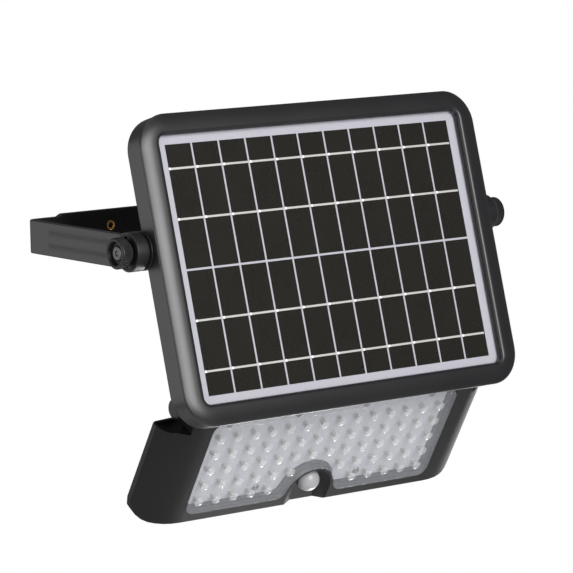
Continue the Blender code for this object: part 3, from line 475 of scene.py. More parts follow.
def grained(name, colour, shade, roughness, spread=0.12, grain=1800.0, cloud=28.0, bump=0.08,
            height=0.02 * MM, **constants):
    """A material on the shared grain group, with its own colours, scales and bump."""
    material, tree, shader = start_material(name, constants)
    group = tree.nodes.new("ShaderNodeGroup")
    group.node_tree = bpy.data.node_groups["surface grain"]
    tree.links.new(coordinates(tree), group.inputs["Vector"])
    group.inputs["Colour"].default_value = (*colour, 1)
    group.inputs["Shade"].default_value = (*shade, 1)
    group.inputs["Grain Scale"].default_value = grain
    group.inputs["Cloud Scale"].default_value = cloud
    group.inputs["Roughness"].default_value = roughness
    group.inputs["Roughness Spread"].default_value = spread
    tree.links.new(group.outputs["Colour"], shader.inputs["Base Color"])
    tree.links.new(group.outputs["Roughness"], shader.inputs["Roughness"])
    if bump:
        relief = tree.nodes.new("ShaderNodeBump")
        relief.inputs["Strength"].default_value = bump
        relief.inputs["Distance"].default_value = height
        tree.links.new(group.outputs["Height"], relief.inputs["Height"])
        tree.links.new(relief.outputs["Normal"], shader.inputs["Normal"])
    return material


def cell_material(name, wafer, finger):
    """Dark laminated cells: printed fingers under a glossy layer."""
    material, tree, shader = start_material(name, {"Coat Weight": 0.4, "Coat Roughness": 0.06,
                                                   "Specular IOR Level": 0.15})
    group = tree.nodes.new("ShaderNodeGroup")
    group.node_tree = bpy.data.node_groups["cell fingers"]
    tree.links.new(coordinates(tree, PANEL_TILT), group.inputs["Vector"])
    group.inputs["Wafer"].default_value = (*wafer, 1)
    group.inputs["Finger"].default_value = (*finger, 1)
    group.inputs["Line Scale"].default_value = 2 * math.pi / (20 * FINGER_PITCH)
    tree.links.new(group.outputs["Colour"], shader.inputs["Base Color"])
    tree.links.new(group.outputs["Roughness"], shader.inputs["Roughness"])
    return material


def build_finishes(tones):
    """Every finish of the light, by name."""
    build_grain_group()
    build_finger_group()
    body = tuple(tones.body)
    black = tuple(tones.lamp)
    white = tuple(tones.back_sheet)
    grained("charcoal shell", body, tuple(0.8 * v for v in body), 0.36, grain=2600.0, bump=0.10)
    grained("bracket paint", tuple(0.75 * v for v in body), tuple(0.60 * v for v in body), 0.40,
            grain=1500.0, bump=0.14, height=0.03 * MM)
    grained("black shell", black, tuple(0.75 * v for v in black), 0.42, grain=2600.0, bump=0.12,
            **{"Specular IOR Level": 0.18})
    grained("black trim", (0.010, 0.010, 0.011), (0.007, 0.007, 0.008), 0.44, grain=1400.0, bump=0.06,
            **{"Specular IOR Level": 0.30})
    grained("black oxide", (0.020, 0.020, 0.021), (0.012, 0.012, 0.013), 0.30, grain=900.0, bump=0.04,
            **{"Specular IOR Level": 0.8})
    grained("black rubber", (0.014, 0.014, 0.015), (0.008, 0.008, 0.008), 0.75, grain=900.0, bump=0.25)
    grained("bright steel", (0.62, 0.62, 0.64), (0.48, 0.48, 0.50), 0.24, spread=0.2, grain=700.0, bump=0.03,
            Metallic=1.0)
    grained("dull steel", (0.30, 0.30, 0.31), (0.22, 0.22, 0.23), 0.42, spread=0.2, grain=700.0, bump=0.05,
            Metallic=1.0)
    grained("brass eyelet", (0.74, 0.42, 0.13), (0.50, 0.26, 0.07), 0.30, spread=0.2, grain=600.0, bump=0.05,
            Metallic=1.0)
    grained("white back sheet", white, tuple(0.93 * v for v in white), 0.35, grain=500.0, cloud=12.0,
            bump=0.02, **{"Coat Weight": 0.5, "Coat Roughness": 0.06})
    cell_material("solar wafer", tuple(tones.cell), (0.045, 0.043, 0.042))
    grained("tinned ribbon", (0.56, 0.55, 0.52), (0.42, 0.41, 0.39), 0.32, spread=0.2, grain=900.0,
            bump=0.06, Metallic=0.15)
    grained("solder", (0.97, 0.97, 0.96), (0.90, 0.90, 0.89), 0.22, grain=900.0, bump=0.05)
    grained("panel glass", (0.03, 0.03, 0.035), (0.02, 0.02, 0.025), 0.04, spread=0.02, grain=60.0,
            cloud=9.0, bump=0.0, Alpha=0.03)
    grained("clear window", (0.44, 0.45, 0.475), (0.40, 0.41, 0.435), 0.14, spread=0.05, grain=220.0,
            bump=0.02, Alpha=0.20)
    grained("lens bead", (0.70, 0.71, 0.74), (0.63, 0.64, 0.67), 0.06, spread=0.04, grain=220.0, bump=0.0,
            Alpha=0.26, **{"Specular IOR Level": 1.0})
    grained("white board", (0.60, 0.61, 0.65), (0.54, 0.55, 0.59), 0.42, grain=500.0, bump=0.05)
    grained("led body", (0.50, 0.48, 0.44), (0.38, 0.36, 0.32), 0.35, grain=900.0, bump=0.03)
    grained("led phosphor", (0.52, 0.36, 0.12), (0.36, 0.22, 0.06), 0.30, grain=1500.0, bump=0.05)
    grained("frosted dome", (0.31, 0.31, 0.32), (0.27, 0.27, 0.28), 0.36, grain=1600.0, bump=0.06)
    grained("circuit board", (0.03, 0.20, 0.08), (0.02, 0.14, 0.05), 0.40, grain=700.0, bump=0.10)
    grained("cell wrap", (0.05, 0.20, 0.46), (0.04, 0.16, 0.38), 0.30, grain=400.0, bump=0.03)
    grained("foam", (0.08, 0.08, 0.08), (0.04, 0.04, 0.04), 0.90, grain=600.0, bump=0.5, height=0.2 * MM)


# --- bracket -----------------------------------------------------------------------------------
def strap_rim(steps=4):
    """One rounded edge of the strap: a quarter circle, the middle of the flat tip and the circle mirrored.

    Each point is (distance out from the middle of the strap's thickness, height against the tip).
    """
    quarter = arc((STRAP / 2 - STRAP_EDGE, -STRAP_EDGE), STRAP_EDGE, 0, 90, steps)
    return np.concatenate([quarter, [[0.0, 0.0]], (quarter * np.array([-1, 1]))[::-1]])


def strap_line():
    """The yoke's middle line, seen from above, from the left arm's end over the base to the right one's.

    A straight arm, a quarter circle and half the base, then the same mirrored; the points stand
    closer where the grooves start and end and where the base plate's height steps.
    """
    mid_radius = BEND_RADIUS - STRAP / 2
    corner_x = ARM_OUTER - BEND_RADIUS
    arm = np.unique(np.concatenate([np.linspace(REACH, BEND_RADIUS, 40),
                                    np.linspace(GROOVE_START - 1.2 * GROOVE_EASE, GROOVE_START, 5),
                                    np.linspace(GROOVE_END, GROOVE_END + 1.2 * GROOVE_EASE, 5)]))[::-1]
    left_arm = np.stack([np.full(len(arm), -corner_x - mid_radius), -arm], axis=-1)
    bend = arc((-corner_x, -BEND_RADIUS), mid_radius, 180, 90, 14)[1:]
    span = np.unique(np.concatenate([np.linspace(-corner_x, 0, 24),
                                     np.linspace(-BASE_STEP, STEP_EASE - BASE_STEP, 9)]))
    base = np.stack([span, np.full(len(span), -STRAP / 2)], axis=-1)[1:]
    half = np.concatenate([left_arm, bend, base])
    return np.concatenate([half, (half * np.array([-1, 1]))[::-1][1:]])


def strap_surface(base_half, arm_half):
    """The bent strap: one rounded section carried along the yoke's middle line.

    The section's half height eases from the arms' to the base plate's at the step, and the two
    grooves press into the outer face between their start and end, measured from the wall.
    """
    line = strap_line()
    step = np.gradient(line, axis=0)
    step /= np.linalg.norm(step, axis=1, keepdims=True)
    outward = np.stack([-step[:, 1], step[:, 0]], axis=-1)
    middle = np.array([0.0, -REACH / 2])
    outward *= np.sign(np.sum(outward * (line - middle), axis=1, keepdims=True))
    rise = 1 - smooth_step(np.abs(line[:, 0]), BASE_STEP - STEP_EASE, BASE_STEP)
    height = (arm_half + (base_half - arm_half) * rise)[:, None]
    from_wall = -line[:, 1:]
    pressed = smooth_step(from_wall, GROOVE_START - GROOVE_EASE, GROOVE_START)
    pressed *= 1 - smooth_step(from_wall, GROOVE_END, GROOVE_END + GROOVE_EASE)
    groove_z = np.linspace(-GROOVE_HALF, GROOVE_HALF, 5)
    groove = STRAP / 2 - pressed * GROOVE_DEPTH * np.array([0, 0.7, 1, 0.7, 0])
    rim = strap_rim()
    both_rims = np.concatenate([rim[:, 0], rim[::-1, 0]])
    out = np.concatenate([groove, np.broadcast_to(both_rims, (len(line), len(both_rims))), groove], axis=1)
    ones = np.ones((len(line), 1))
    up = np.concatenate([ones * (GROOVE_Z + groove_z), height + rim[:, 1], -height - rim[::-1, 1],
                         ones * (groove_z - GROOVE_Z)], axis=1)
    plan = line[:, None, :] + outward[:, None, :] * out[:, :, None]
    return grid(np.concatenate([plan, up[:, :, None]], axis=-1), wrap=True, caps="both")


def boss_surface():
    """The round boss at an arm's end, with a softened rim and a shallow dished face."""
    profile = softened([(0, BOSS_INNER), (BOSS_RADIUS - 0.2 * MM, BOSS_INNER),
                        (BOSS_RADIUS, BOSS_INNER + 0.5 * MM), (BOSS_RADIUS, BOSS_OUTER),
                        (BOSS_RADIUS - 1.4 * MM, BOSS_OUTER), (BOSS_RADIUS - 1.9 * MM, BOSS_OUTER - 0.5 * MM),
                        (0, BOSS_OUTER - 0.5 * MM)], 0.5 * MM, 5)
    return turned(profile, 72)


# --- panel head --------------------------------------------------------------------------------
def bezel_surface(rail_side, swell):
    """The rail carried round the panel.

    Across the rail a line of sloping facets climbs from the outer edge to a crest near the glass
    and drops down a short flank; parabolas soften it, and the swell scales its heights.
    """
    climb = [(0.004, 0.0), (0.0, 0.02), (0.0, 0.12), (0.03, 0.26), (0.11, 0.42), (0.25, 0.64),
             (0.40, 0.81), (0.54, 0.92), (0.68, 0.98), (0.80, 1.0), (0.89, 0.93), (0.96, 0.70),
             (1.0, 0.30), (1.0, 0.02), (0.996, 0.0)]
    line = softened(climb, 0.1, 5)
    depth = BEZEL_BACK - swell * line[:, 1]
    sections = np.stack([PANEL_HALF_X - line[:, 0] * rail_side, PANEL_HALF_Z - line[:, 0] * RAIL_TOP,
                         PANEL_RADIUS + (LIP_RADIUS - PANEL_RADIUS) * line[:, 0], depth], axis=-1)
    return panel_loft(sections, 18, closed=True)


def housing_surface():
    """The back shell, from the floor of its inner pocket, out over the rim and round to the bulge."""
    inner = [(60 * MM, 30 * MM, 5 * MM, 4.6 * MM), (70 * MM, 38 * MM, 6 * MM, 4.6 * MM),
             (72 * MM, 40 * MM, 7 * MM, -2.0 * MM), (115.6 * MM, 81.0 * MM, 4.6 * MM, -2.0 * MM),
             (115.6 * MM, 81.0 * MM, 4.6 * MM, -12.3 * MM), (122.8 * MM, 88.2 * MM, 4.6 * MM, -12.3 * MM),
             (122.8 * MM, 88.2 * MM, 4.6 * MM, HOUSING_FRONT),
             (132.1 * MM, 96.9 * MM, 22 * MM, HOUSING_FRONT),
             (132.2 * MM, 97.0 * MM, 22 * MM, HOUSING_FRONT + 0.1 * MM)]
    ahead = np.concatenate([[12.0], 4.6 * np.cos(np.radians(np.linspace(0, 90, 12)))]) * MM
    inset = 6.7 * MM * (1 - np.sqrt(np.clip(1 - np.clip(1 - ahead / (4.6 * MM), 0, 1) ** 2, 0, 1)))
    outer = np.stack([132.1 * MM - inset, 96.9 * MM - inset, 22 * MM - 0.9 * inset, HOUSING_BACK - ahead],
                     axis=-1)
    bulge = softened([(80 * MM, 48 * MM, 12 * MM, HOUSING_BACK), (77 * MM, 45 * MM, 10 * MM, HOUSING_BACK),
                      (74.5 * MM, 42.5 * MM, 9 * MM, 7.0 * MM), (60 * MM, 28 * MM, 5 * MM, 7.0 * MM)],
                     1.6 * MM, 6)
    return panel_loft(np.concatenate([np.array(inner), outer, bulge]), 12)


def hub_surface():
    """A tilt hub at the housing's side: a drum with softened edges."""
    profile = softened([(0, 123.1 * MM), (BOSS_RADIUS - 1 * MM, 123.1 * MM), (BOSS_RADIUS, 124.3 * MM),
                        (BOSS_RADIUS, HUB_FACE), (0, HUB_FACE)], 0.6 * MM, 4)
    return turned(profile, 64)


def hinge_lug_surfaces():
    """A hinge lug: a block rising from the housing into a round barrel."""
    width = BARREL_OUTER - BARREL_INNER
    block = rounded_box((width - 0.1 * MM, 2 * BARREL_RADIUS + 5 * MM, 2 * BARREL_RADIUS - 0.5 * MM),
                        0.7 * MM)
    middle = (BARREL_OUTER + BARREL_INNER) / 2
    block = moved(block, (middle, HINGE_Y - BARREL_RADIUS - 2.5 * MM, HINGE_Z))
    profile = softened([(0, BARREL_INNER), (BARREL_RADIUS, BARREL_INNER), (BARREL_RADIUS, BARREL_OUTER),
                        (0, BARREL_OUTER)], 0.5 * MM, 4)
    barrel = moved(turned(profile, 48), (0, HINGE_Y, HINGE_Z))
    return [block, barrel]


def cell_centres():
    """Middles of the half cells: two rows of strips either side of the panel's middle line."""
    columns = (np.arange(CELL_COLUMNS) - (CELL_COLUMNS - 1) / 2) * CELL_PITCH + CELL_SHIFT
    rows = np.array([-WAFER / 4, WAFER / 4]) + PANEL_MID_Z
    x, z = np.meshgrid(columns, rows)
    return np.stack([x.ravel(), np.zeros(x.size), z.ravel()], axis=-1)


def ribbon_heights():
    """Heights of the ribbon lines: odd half steps of a fifth of the wafer, without the middle one."""
    steps = np.array([0.5, 1.5, 3.5, 4.5])
    return (steps / 5 - 0.5) * WAFER + PANEL_MID_Z


def add_screw(name, body, place, position, sides=40):
    """A pan-head screw: rings of falling height round its axis, lowered inside a cross-shaped slot."""
    ring = np.concatenate([np.linspace(0, 2.3, 15), [2.6, 2.85, 2.9, 2.9, 1.4, 1.4, 0.0]]) * MM
    top = np.concatenate([np.full(13, 1.95), [1.9, 1.8, 1.55, 1.2, 0.7, 0.3, 0.3, -2.0, -2.0]]) * MM
    turn = np.linspace(0, 2 * np.pi, sides, endpoint=False)
    x = ring[:, None] * np.cos(turn)
    z = ring[:, None] * np.sin(turn)
    depth = np.repeat(top[:, None], sides, axis=1)
    arm = np.minimum(np.abs(x), np.abs(z)) < 0.42 * MM
    cut = arm & (np.hypot(x, z) < 1.7 * MM) & (np.arange(len(ring))[:, None] < 15)
    depth = np.where(cut, depth - 0.7 * MM, depth)
    surface = grid(np.stack([x, depth, z], axis=-1), wrap=True)
    piece(name, [moved(surface, position)], "dull steel", body, place, (name,), "steel", 30)


# --- lamp --------------------------------------------------------------------------------------
def window_outline(inset, steps=16):
    """The window's edge: a rounded rectangle whose lower side arches over the motion sensor."""
    half_x = LENS_HALF_X - inset
    top = LENS_TOP - inset
    bottom = LENS_BOTTOM + inset
    arch = ARCH_RADIUS + inset
    foot = 7.0 * MM - inset
    radius = 7.0 * MM - 0.5 * inset
    foot_z = bottom + foot
    foot_x = math.sqrt((arch + foot) ** 2 - (foot_z - ARCH_Z) ** 2)
    meet = math.degrees(math.atan2(foot_z - ARCH_Z, foot_x))
    over = arc((0, ARCH_Z), arch, 180 - meet, meet, 2 * steps)
    right_foot = arc((foot_x, foot_z), foot, 180 + meet, 270, steps // 2)[1:]
    corners = [arc((half_x - radius, bottom + radius), radius, -90, 0, steps),
               arc((half_x - radius, top - radius), radius, 0, 90, steps),
               arc((radius - half_x, top - radius), radius, 90, 180, steps),
               arc((radius - half_x, bottom + radius), radius, 180, 270, steps)]
    left_foot = (right_foot * np.array([-1, 1]))[::-1]
    return np.concatenate([over, right_foot, *corners, left_foot])


def window_surface():
    """The moulded window: a plate whose rim steps down twice to a lower field."""
    profile = [(5.6, 1.3), (5.2, 1.4), (5.0, 2.1), (4.8, 2.2), (0.2, 2.2), (0.0, 2.0), (0.0, -0.1),
               (0.15, -0.38), (0.45, -0.5), (2.2, -0.5), (2.5, -0.38), (2.65, 0.0), (2.9, 0.12),
               (4.4, 0.12), (4.7, 0.2), (4.9, 0.5), (5.2, 0.6)]
    rows = [at_depth(window_outline(inset * MM), LAMP_FACE + depth * MM) for inset, depth in profile]
    return grid(np.stack(rows), wrap=True, caps="both")


def led_places(depth):
    """LED centres: full rows, with the two lowest rows opening round the sensor."""
    offset = np.arange(LED_COLUMNS) - (LED_COLUMNS - 1) / 2
    row = np.arange(LED_ROWS)
    column, line = np.meshgrid(offset, row)
    gap = np.select([line == 3, line == 4], [1.0, 2.0], 0.0)
    shown = np.abs(column) > gap
    x = column[shown] * LED_PITCH_X
    z = LED_FIRST_Z - line[shown] * LED_PITCH_Z
    return np.stack([x, np.full(len(x), depth), z], axis=-1)


def bead_surface(radius, height, rings=6, sides=20):
    """A shallow lens: depth falls with the square of the distance from its middle."""
    share = np.linspace(0, 1, rings + 1)
    profile = np.stack([radius * share, -height * (1 - share ** 2)], axis=-1)
    base = np.array([[radius * 0.98, 0.25 * MM], [0, 0.25 * MM]])
    return turned(np.concatenate([profile, base]), sides, "Y")


def dome_surface():
    """The sensor's frosted dome: a hemisphere pressed very slightly along lens seams, with a foot ring."""
    radius = DOME_RADIUS
    turn = np.radians(np.linspace(90, 2, 26))
    seams = 1 - 0.010 * np.abs(np.sin(5 * turn)) ** 6
    outer = np.stack([radius * seams * np.cos(turn), -radius * seams * np.sin(turn)], axis=-1)
    outer[:, 1] = np.minimum(outer[:, 1], SCOOP_FLOOR - GAP - DOME_Y)
    inner = np.array([[radius - 0.8 * MM, outer[-1, 1]], [0, outer[-1, 1]]])
    return moved(turned(np.concatenate([outer, inner]), 56, "Y"), (0, DOME_Y, DOME_Z))


# --- settings ----------------------------------------------------------------------------------
class FloodLightYoke(bpy.types.PropertyGroup):
    """Sizes of the bracket."""
    arm_height: FloatProperty(name="Arm height", description="Height of the two arms", default=21.5 * MM,
                              subtype="DISTANCE", unit="LENGTH")
    base_height: FloatProperty(name="Base height", description="Height of the plate on the wall",
                               default=25.0 * MM, subtype="DISTANCE", unit="LENGTH")


class FloodLightPanel(bpy.types.PropertyGroup):
    """Sizes of the panel head."""
    rail_width: FloatProperty(name="Rail width", description="Width of the bezel at the sides",
                              default=14.2 * MM, subtype="DISTANCE", unit="LENGTH")
    rail_swell: FloatProperty(name="Rail swell", description="How far the bezel's rail swells forward",
                              default=3.5 * MM, subtype="DISTANCE", unit="LENGTH")
    cell_gap: FloatProperty(name="Cell gap", description="White gap between neighbouring cells",
                            default=1.3 * MM, subtype="DISTANCE", unit="LENGTH")
    ribbon_width: FloatProperty(name="Ribbon width", description="Width of a tinned ribbon",
                                default=1.3 * MM, subtype="DISTANCE", unit="LENGTH")


class FloodLightLamp(bpy.types.PropertyGroup):
    """Sizes of the lamp."""
    bead_radius: FloatProperty(name="Bead radius", description="Radius of a lens bead over an LED",
                               default=3.3 * MM, subtype="DISTANCE", unit="LENGTH")
    bead_height: FloatProperty(name="Bead height", description="How far a bead stands off the window",
                               default=1.25 * MM, subtype="DISTANCE", unit="LENGTH")
    bead_sides: IntProperty(name="Bead sides", description="Number of sides round a bead", default=20,
                            min=8, max=64)


class FloodLightTones(bpy.types.PropertyGroup):
    """Colours of the light."""
    body: FloatVectorProperty(name="Body", description="Colour of the bracket and the panel's shells",
                              subtype="COLOR", size=3, default=(0.0095, 0.0096, 0.0104))
    lamp: FloatVectorProperty(name="Lamp", description="Colour of the lamp's shells",
                              subtype="COLOR", size=3, default=(0.0065, 0.0065, 0.0065))
    cell: FloatVectorProperty(name="Cell", description="Colour of the solar cells",
                              subtype="COLOR", size=3, default=(0.0100, 0.0090, 0.0065))
    back_sheet: FloatVectorProperty(name="Back sheet", description="Colour between and round the cells",
                                    subtype="COLOR", size=3, default=(0.41, 0.404, 0.448))


SETTINGS = {"flood_light_yoke": FloodLightYoke, "flood_light_panel": FloodLightPanel,
            "flood_light_lamp": FloodLightLamp, "flood_light_tones": FloodLightTones}


# --- operators ---------------------------------------------------------------------------------
class BuildFinishes(bpy.types.Operator):
    """Makes every material of the light"""
    bl_idname = "flood_light.finishes"
    bl_label = "Finishes"

    def execute(self, context):
        build_finishes(context.scene.flood_light_tones)
        return {"FINISHED"}


class BuildYoke(bpy.types.Operator):
    """Builds the bent bracket with its bosses and eyelets"""
    bl_idname = "flood_light.yoke"
    bl_label = "Bracket"

    def execute(self, context):
        sizes = context.scene.flood_light_yoke
        boss = moved(boss_surface(), (0, -REACH, 0))
        piece("yoke_bracket", [strap_surface(sizes.base_height / 2, sizes.arm_height / 2)],
              "bracket paint", "bracket_body", stands_for=("bracket",), slot="arm_grey", crease=42)
        piece("yoke_bosses", [boss, moved(boss, mirror_x=True)], "black trim", "bracket_body",
              slot="arm_grey")
        profile = softened([(1.7 * MM, 0.4 * MM), (2.3 * MM, 0.4 * MM), (2.3 * MM, STRAP + 0.3 * MM),
                            (3.1 * MM, STRAP + 0.3 * MM), (3.1 * MM, STRAP + 1.1 * MM),
                            (2.7 * MM, STRAP + 1.3 * MM), (2.1 * MM, STRAP + 1.3 * MM),
                            (1.7 * MM, STRAP + 0.7 * MM), (1.7 * MM, 0.4 * MM)], 0.2 * MM, 3)
        for side, sign in (("left", -1), ("right", 1)):
            eyelet = moved(turned(profile, 40, "-Y"), (sign * BUSH_X, 0, BUSH_Z))
            piece(f"eyelet_{side}", [eyelet], "brass eyelet", "bracket_body",
                  stands_for=(f"base_bush_{side}",), slot="brass")
        return {"FINISHED"}


class BuildKnobs(bpy.types.Operator):
    """Builds both thumb knobs with their bolts and washers"""
    bl_idname = "flood_light.knobs"
    bl_label = "Thumb knobs"

    def execute(self, context):
        cup = softened([(3.3 * MM, -KNOB_DEPTH), (9.0 * MM, -KNOB_DEPTH),
                        (KNOB_RADIUS, 0.8 * MM - KNOB_DEPTH), (KNOB_RADIUS, -1.7 * MM),
                        (KNOB_RADIUS, -0.9 * MM), (9.0 * MM, 0), (7.9 * MM, 0), (7.3 * MM, -0.6 * MM),
                        (6.8 * MM, -3.4 * MM), (3.3 * MM, -3.4 * MM), (3.3 * MM, -KNOB_DEPTH)], 0.45 * MM, 4)
        head = softened([(0, -2.5 * MM), (1.5 * MM, -2.5 * MM), (1.7 * MM, -1.6 * MM), (3.9 * MM, -1.5 * MM),
                         (4.8 * MM, -2.2 * MM), (4.8 * MM, -3.1 * MM), (3.0 * MM, -3.1 * MM),
                         (3.0 * MM, -26.0 * MM), (2.4 * MM, -26.8 * MM), (0, -26.8 * MM)], 0.5 * MM, 4)
        low = BOSS_OUTER + GAP - KNOB_FACE
        washer = softened([(3.3 * MM, low), (7.4 * MM, low), (7.4 * MM, -KNOB_DEPTH - GAP),
                           (3.3 * MM, -KNOB_DEPTH - GAP), (3.3 * MM, low)], 0.3 * MM, 3)
        for side, sign in (("left", -1), ("right", 1)):
            mirror = sign < 0
            place = (sign * KNOB_FACE, -REACH, 0)
            body = f"knob_{side}_body"
            knurled = turned(cup, KNOB_RIDGES * 6, "X", KNOB_RIDGES, ridge_depth=0.42 * MM,
                             ridge_from=-KNOB_DEPTH + 0.5 * MM, ridge_to=-1.3 * MM)
            piece(f"thumb_knob_{side}", [moved(knurled, place, mirror)], "black trim", body,
                  stands_for=(f"knob_{side}",), slot="black", crease=50)
            piece(f"knob_screw_{side}", [moved(turned(head, 56), place, mirror)], "black oxide", body,
                  stands_for=(f"knob_bolt_{side}",), slot="steel")
            piece(f"knob_ring_{side}", [moved(turned(washer, 56), place, mirror)], "black rubber", body,
                  stands_for=(f"knob_washer_{side}",), slot="rubber")
        return {"FINISHED"}


class BuildBezel(bpy.types.Operator):
    """Builds the pillow-shaped frame round the glass"""
    bl_idname = "flood_light.bezel"
    bl_label = "Panel bezel"

    def execute(self, context):
        sizes = context.scene.flood_light_panel
        piece("bezel", [bezel_surface(sizes.rail_width, sizes.rail_swell)], "charcoal shell", *ON_PANEL,
              ("panel_bezel",), "charcoal", 50)
        return {"FINISHED"}


class BuildCells(bpy.types.Operator):
    """Builds the half cells, ribbons and solder joints on the laminate"""
    bl_idname = "flood_light.cells"
    bl_label = "Solar cells"

    def execute(self, context):
        sizes = context.scene.flood_light_panel
        wide = CELL_PITCH - sizes.cell_gap
        tall = WAFER / 2 - sizes.cell_gap
        tile = rounded_box((wide, 0.10 * MM, tall), 0.04 * MM, 1)
        depth = SHEET_FRONT - 0.06 * MM
        piece("solar_cells", [copies(tile, cell_centres() + np.array([0, depth, 0]))], "solar wafer",
              *ON_PANEL, slot="cells")
        field = CELL_COLUMNS * CELL_PITCH
        heights = ribbon_heights()
        strip = rounded_box((field - 2 * sizes.cell_gap, 0.06 * MM, sizes.ribbon_width), 0.02 * MM, 1)
        lines = np.stack([np.full(4, CELL_SHIFT), np.full(4, depth - 0.09 * MM), heights], axis=-1)
        piece("cell_ribbons", [copies(strip, lines)], "tinned ribbon", *ON_PANEL, slot="cells")
        joints = (np.arange(CELL_COLUMNS) - CELL_COLUMNS / 2) * CELL_PITCH + CELL_SHIFT + 1.5 * MM
        x, z = np.meshgrid(joints, heights)
        spots = np.stack([x.ravel(), np.full(x.size, depth - 0.12 * MM), z.ravel()], axis=-1)
        dot = bead_surface(0.85 * MM, 0.07 * MM, 3, 14)
        piece("solder_dots", [copies(dot, spots)], "solder", *ON_PANEL, slot="cells")
        return {"FINISHED"}


class BuildHousing(bpy.types.Operator):
    """Builds the panel's back shell, its hubs, lugs, discs, caps and screws"""
    bl_idname = "flood_light.housing"
    bl_label = "Panel housing"

    def execute(self, context):
        hub = hub_surface()
        lugs = hinge_lug_surfaces()
        piece("back_housing", [housing_surface()], "charcoal shell", *ON_PANEL,
              ("rear_housing",), "charcoal", 40)
        piece("tilt_hubs", [hub, moved(hub, mirror_x=True)], "black trim", *ON_PANEL,
              slot="charcoal")
        piece("hinge_lugs", [*lugs, *[moved(lug, mirror_x=True) for lug in lugs]], "black shell",
              *ON_PANEL, slot="charcoal")
        disc = softened([(3.5 * MM, HUB_FACE + GAP), (10.8 * MM, HUB_FACE + GAP),
                         (10.8 * MM, BOSS_INNER - GAP), (3.5 * MM, BOSS_INNER - GAP),
                         (3.5 * MM, HUB_FACE + GAP)], 0.2 * MM, 2)
        cap = softened([(0, BARREL_OUTER + GAP), (BARREL_RADIUS, BARREL_OUTER + GAP),
                        (BARREL_RADIUS, BARREL_OUTER + 1.1 * MM),
                        (BARREL_RADIUS - 1 * MM, BARREL_OUTER + 1.5 * MM),
                        (0, BARREL_OUTER + 1.5 * MM)], 0.5 * MM, 4)
        for side, mirror in (("left", True), ("right", False)):
            piece(f"friction_ring_{side}", [moved(turned(disc, 56), (0, 0, 0), mirror)], "black trim",
                  *ON_PANEL, (f"friction_disc_{side}",), "black")
            piece(f"hinge_plug_{side}", [moved(turned(cap, 48), (0, HINGE_Y, HINGE_Z), mirror)],
                  "black trim", *ON_PANEL, (f"hinge_cap_{side}",), "black")
        places = [(sx * PANEL_SCREW_X, HOUSING_BACK, PANEL_MID_Z + sz * PANEL_SCREW_Z)
                  for sx in (-1, 1) for sz in (-1, 1)]
        for index, position in enumerate(places, start=1):
            add_screw(f"panel_screw_{index}", *ON_PANEL, position)
        return {"FINISHED"}


class BuildLampShells(bpy.types.Operator):
    """Builds the lamp's front shell, rear cover, screws and mode button"""
    bl_idname = "flood_light.lamp_shells"
    bl_label = "Lamp shells"

    def execute(self, context):
        refined_copy("lamp_front_shell", "front_housing", "black shell", "lamp_body")
        refined_copy("lamp_rear_shell", "rear_cover", "black shell", "lamp_body")
        floor = LAMP_PART + GAP + COVER_RIM
        places = [(-79, -7), (79, -7), (-100, -68), (100, -68)]
        for index, (x, z) in enumerate(places, start=1):
            add_screw(f"cover_screw_{index}", *ON_LAMP, (x * MM, floor, z * MM))
        press = softened([(0, 9.8 * MM), (2 * MM, 9.8 * MM), (2 * MM, 12.6 * MM), (6.2 * MM, 12.6 * MM),
                          (6.2 * MM, 13.9 * MM), (5 * MM, 13.9 * MM), (5 * MM, LAMP_BACK + 0.9 * MM),
                          (4.3 * MM, LAMP_BACK + 1.4 * MM), (0, LAMP_BACK + 1.2 * MM)], 0.5 * MM, 4)
        button = moved(turned(press, 56, "Y"), (44 * MM, 0, BAY_MID_Z))
        piece("press_button", [button], "black rubber", "button_body", "lamp", ("mode_button",), "rubber")
        return {"FINISHED"}


class BuildLens(bpy.types.Operator):
    """Builds the moulded window and the lens beads over the LEDs"""
    bl_idname = "flood_light.lens"
    bl_label = "Lamp window"

    def execute(self, context):
        sizes = context.scene.flood_light_lamp
        piece("window_plate", [window_surface()], "clear window", *ON_LAMP,
              ("lamp_lens",), "lens", 60)
        bead = bead_surface(sizes.bead_radius, sizes.bead_height, 6, sizes.bead_sides)
        piece("window_beads", [copies(bead, led_places(LAMP_FACE + 0.55 * MM))], "lens bead", *ON_LAMP,
              slot="lens", crease=70)
        return {"FINISHED"}


class BuildLeds(bpy.types.Operator):
    """Builds the LED packages and the board's screws"""
    bl_idname = "flood_light.leds"
    bl_label = "LEDs"

    def execute(self, context):
        package = rounded_box((2.4 * MM, 4.2 * MM, 2.8 * MM), 0.25 * MM, 2)
        piece("led_packages", [copies(package, led_places(BOARD_FRONT - 2.3 * MM))], "led body", *ON_LAMP,
              slot="board")
        phosphor = bead_surface(1.15 * MM, 0.30 * MM, 3, 16)
        piece("led_phosphors", [copies(phosphor, led_places(BOARD_FRONT - 4.42 * MM))], "led phosphor",
              *ON_LAMP, slot="board")
        head = turned(softened([(0, -0.7 * MM), (0.9 * MM, -0.7 * MM), (1.1 * MM, -1.1 * MM),
                                (1.9 * MM, -1.2 * MM), (2.5 * MM, -0.6 * MM), (2.5 * MM, 0), (0, 0)],
                               0.3 * MM, 3), 28, "Y")
        spots = [(x * MM, BOARD_FRONT - 0.05 * MM, z * MM)
                 for x, z in ((-81.4, -10.8), (-27.1, -10.8), (27.1, -10.8), (81.4, -10.8),
                              (-40.7, -69.1), (40.7, -69.1))]
        piece("board_screws", [copies(head, spots)], "dull steel", *ON_LAMP, slot="steel")
        return {"FINISHED"}


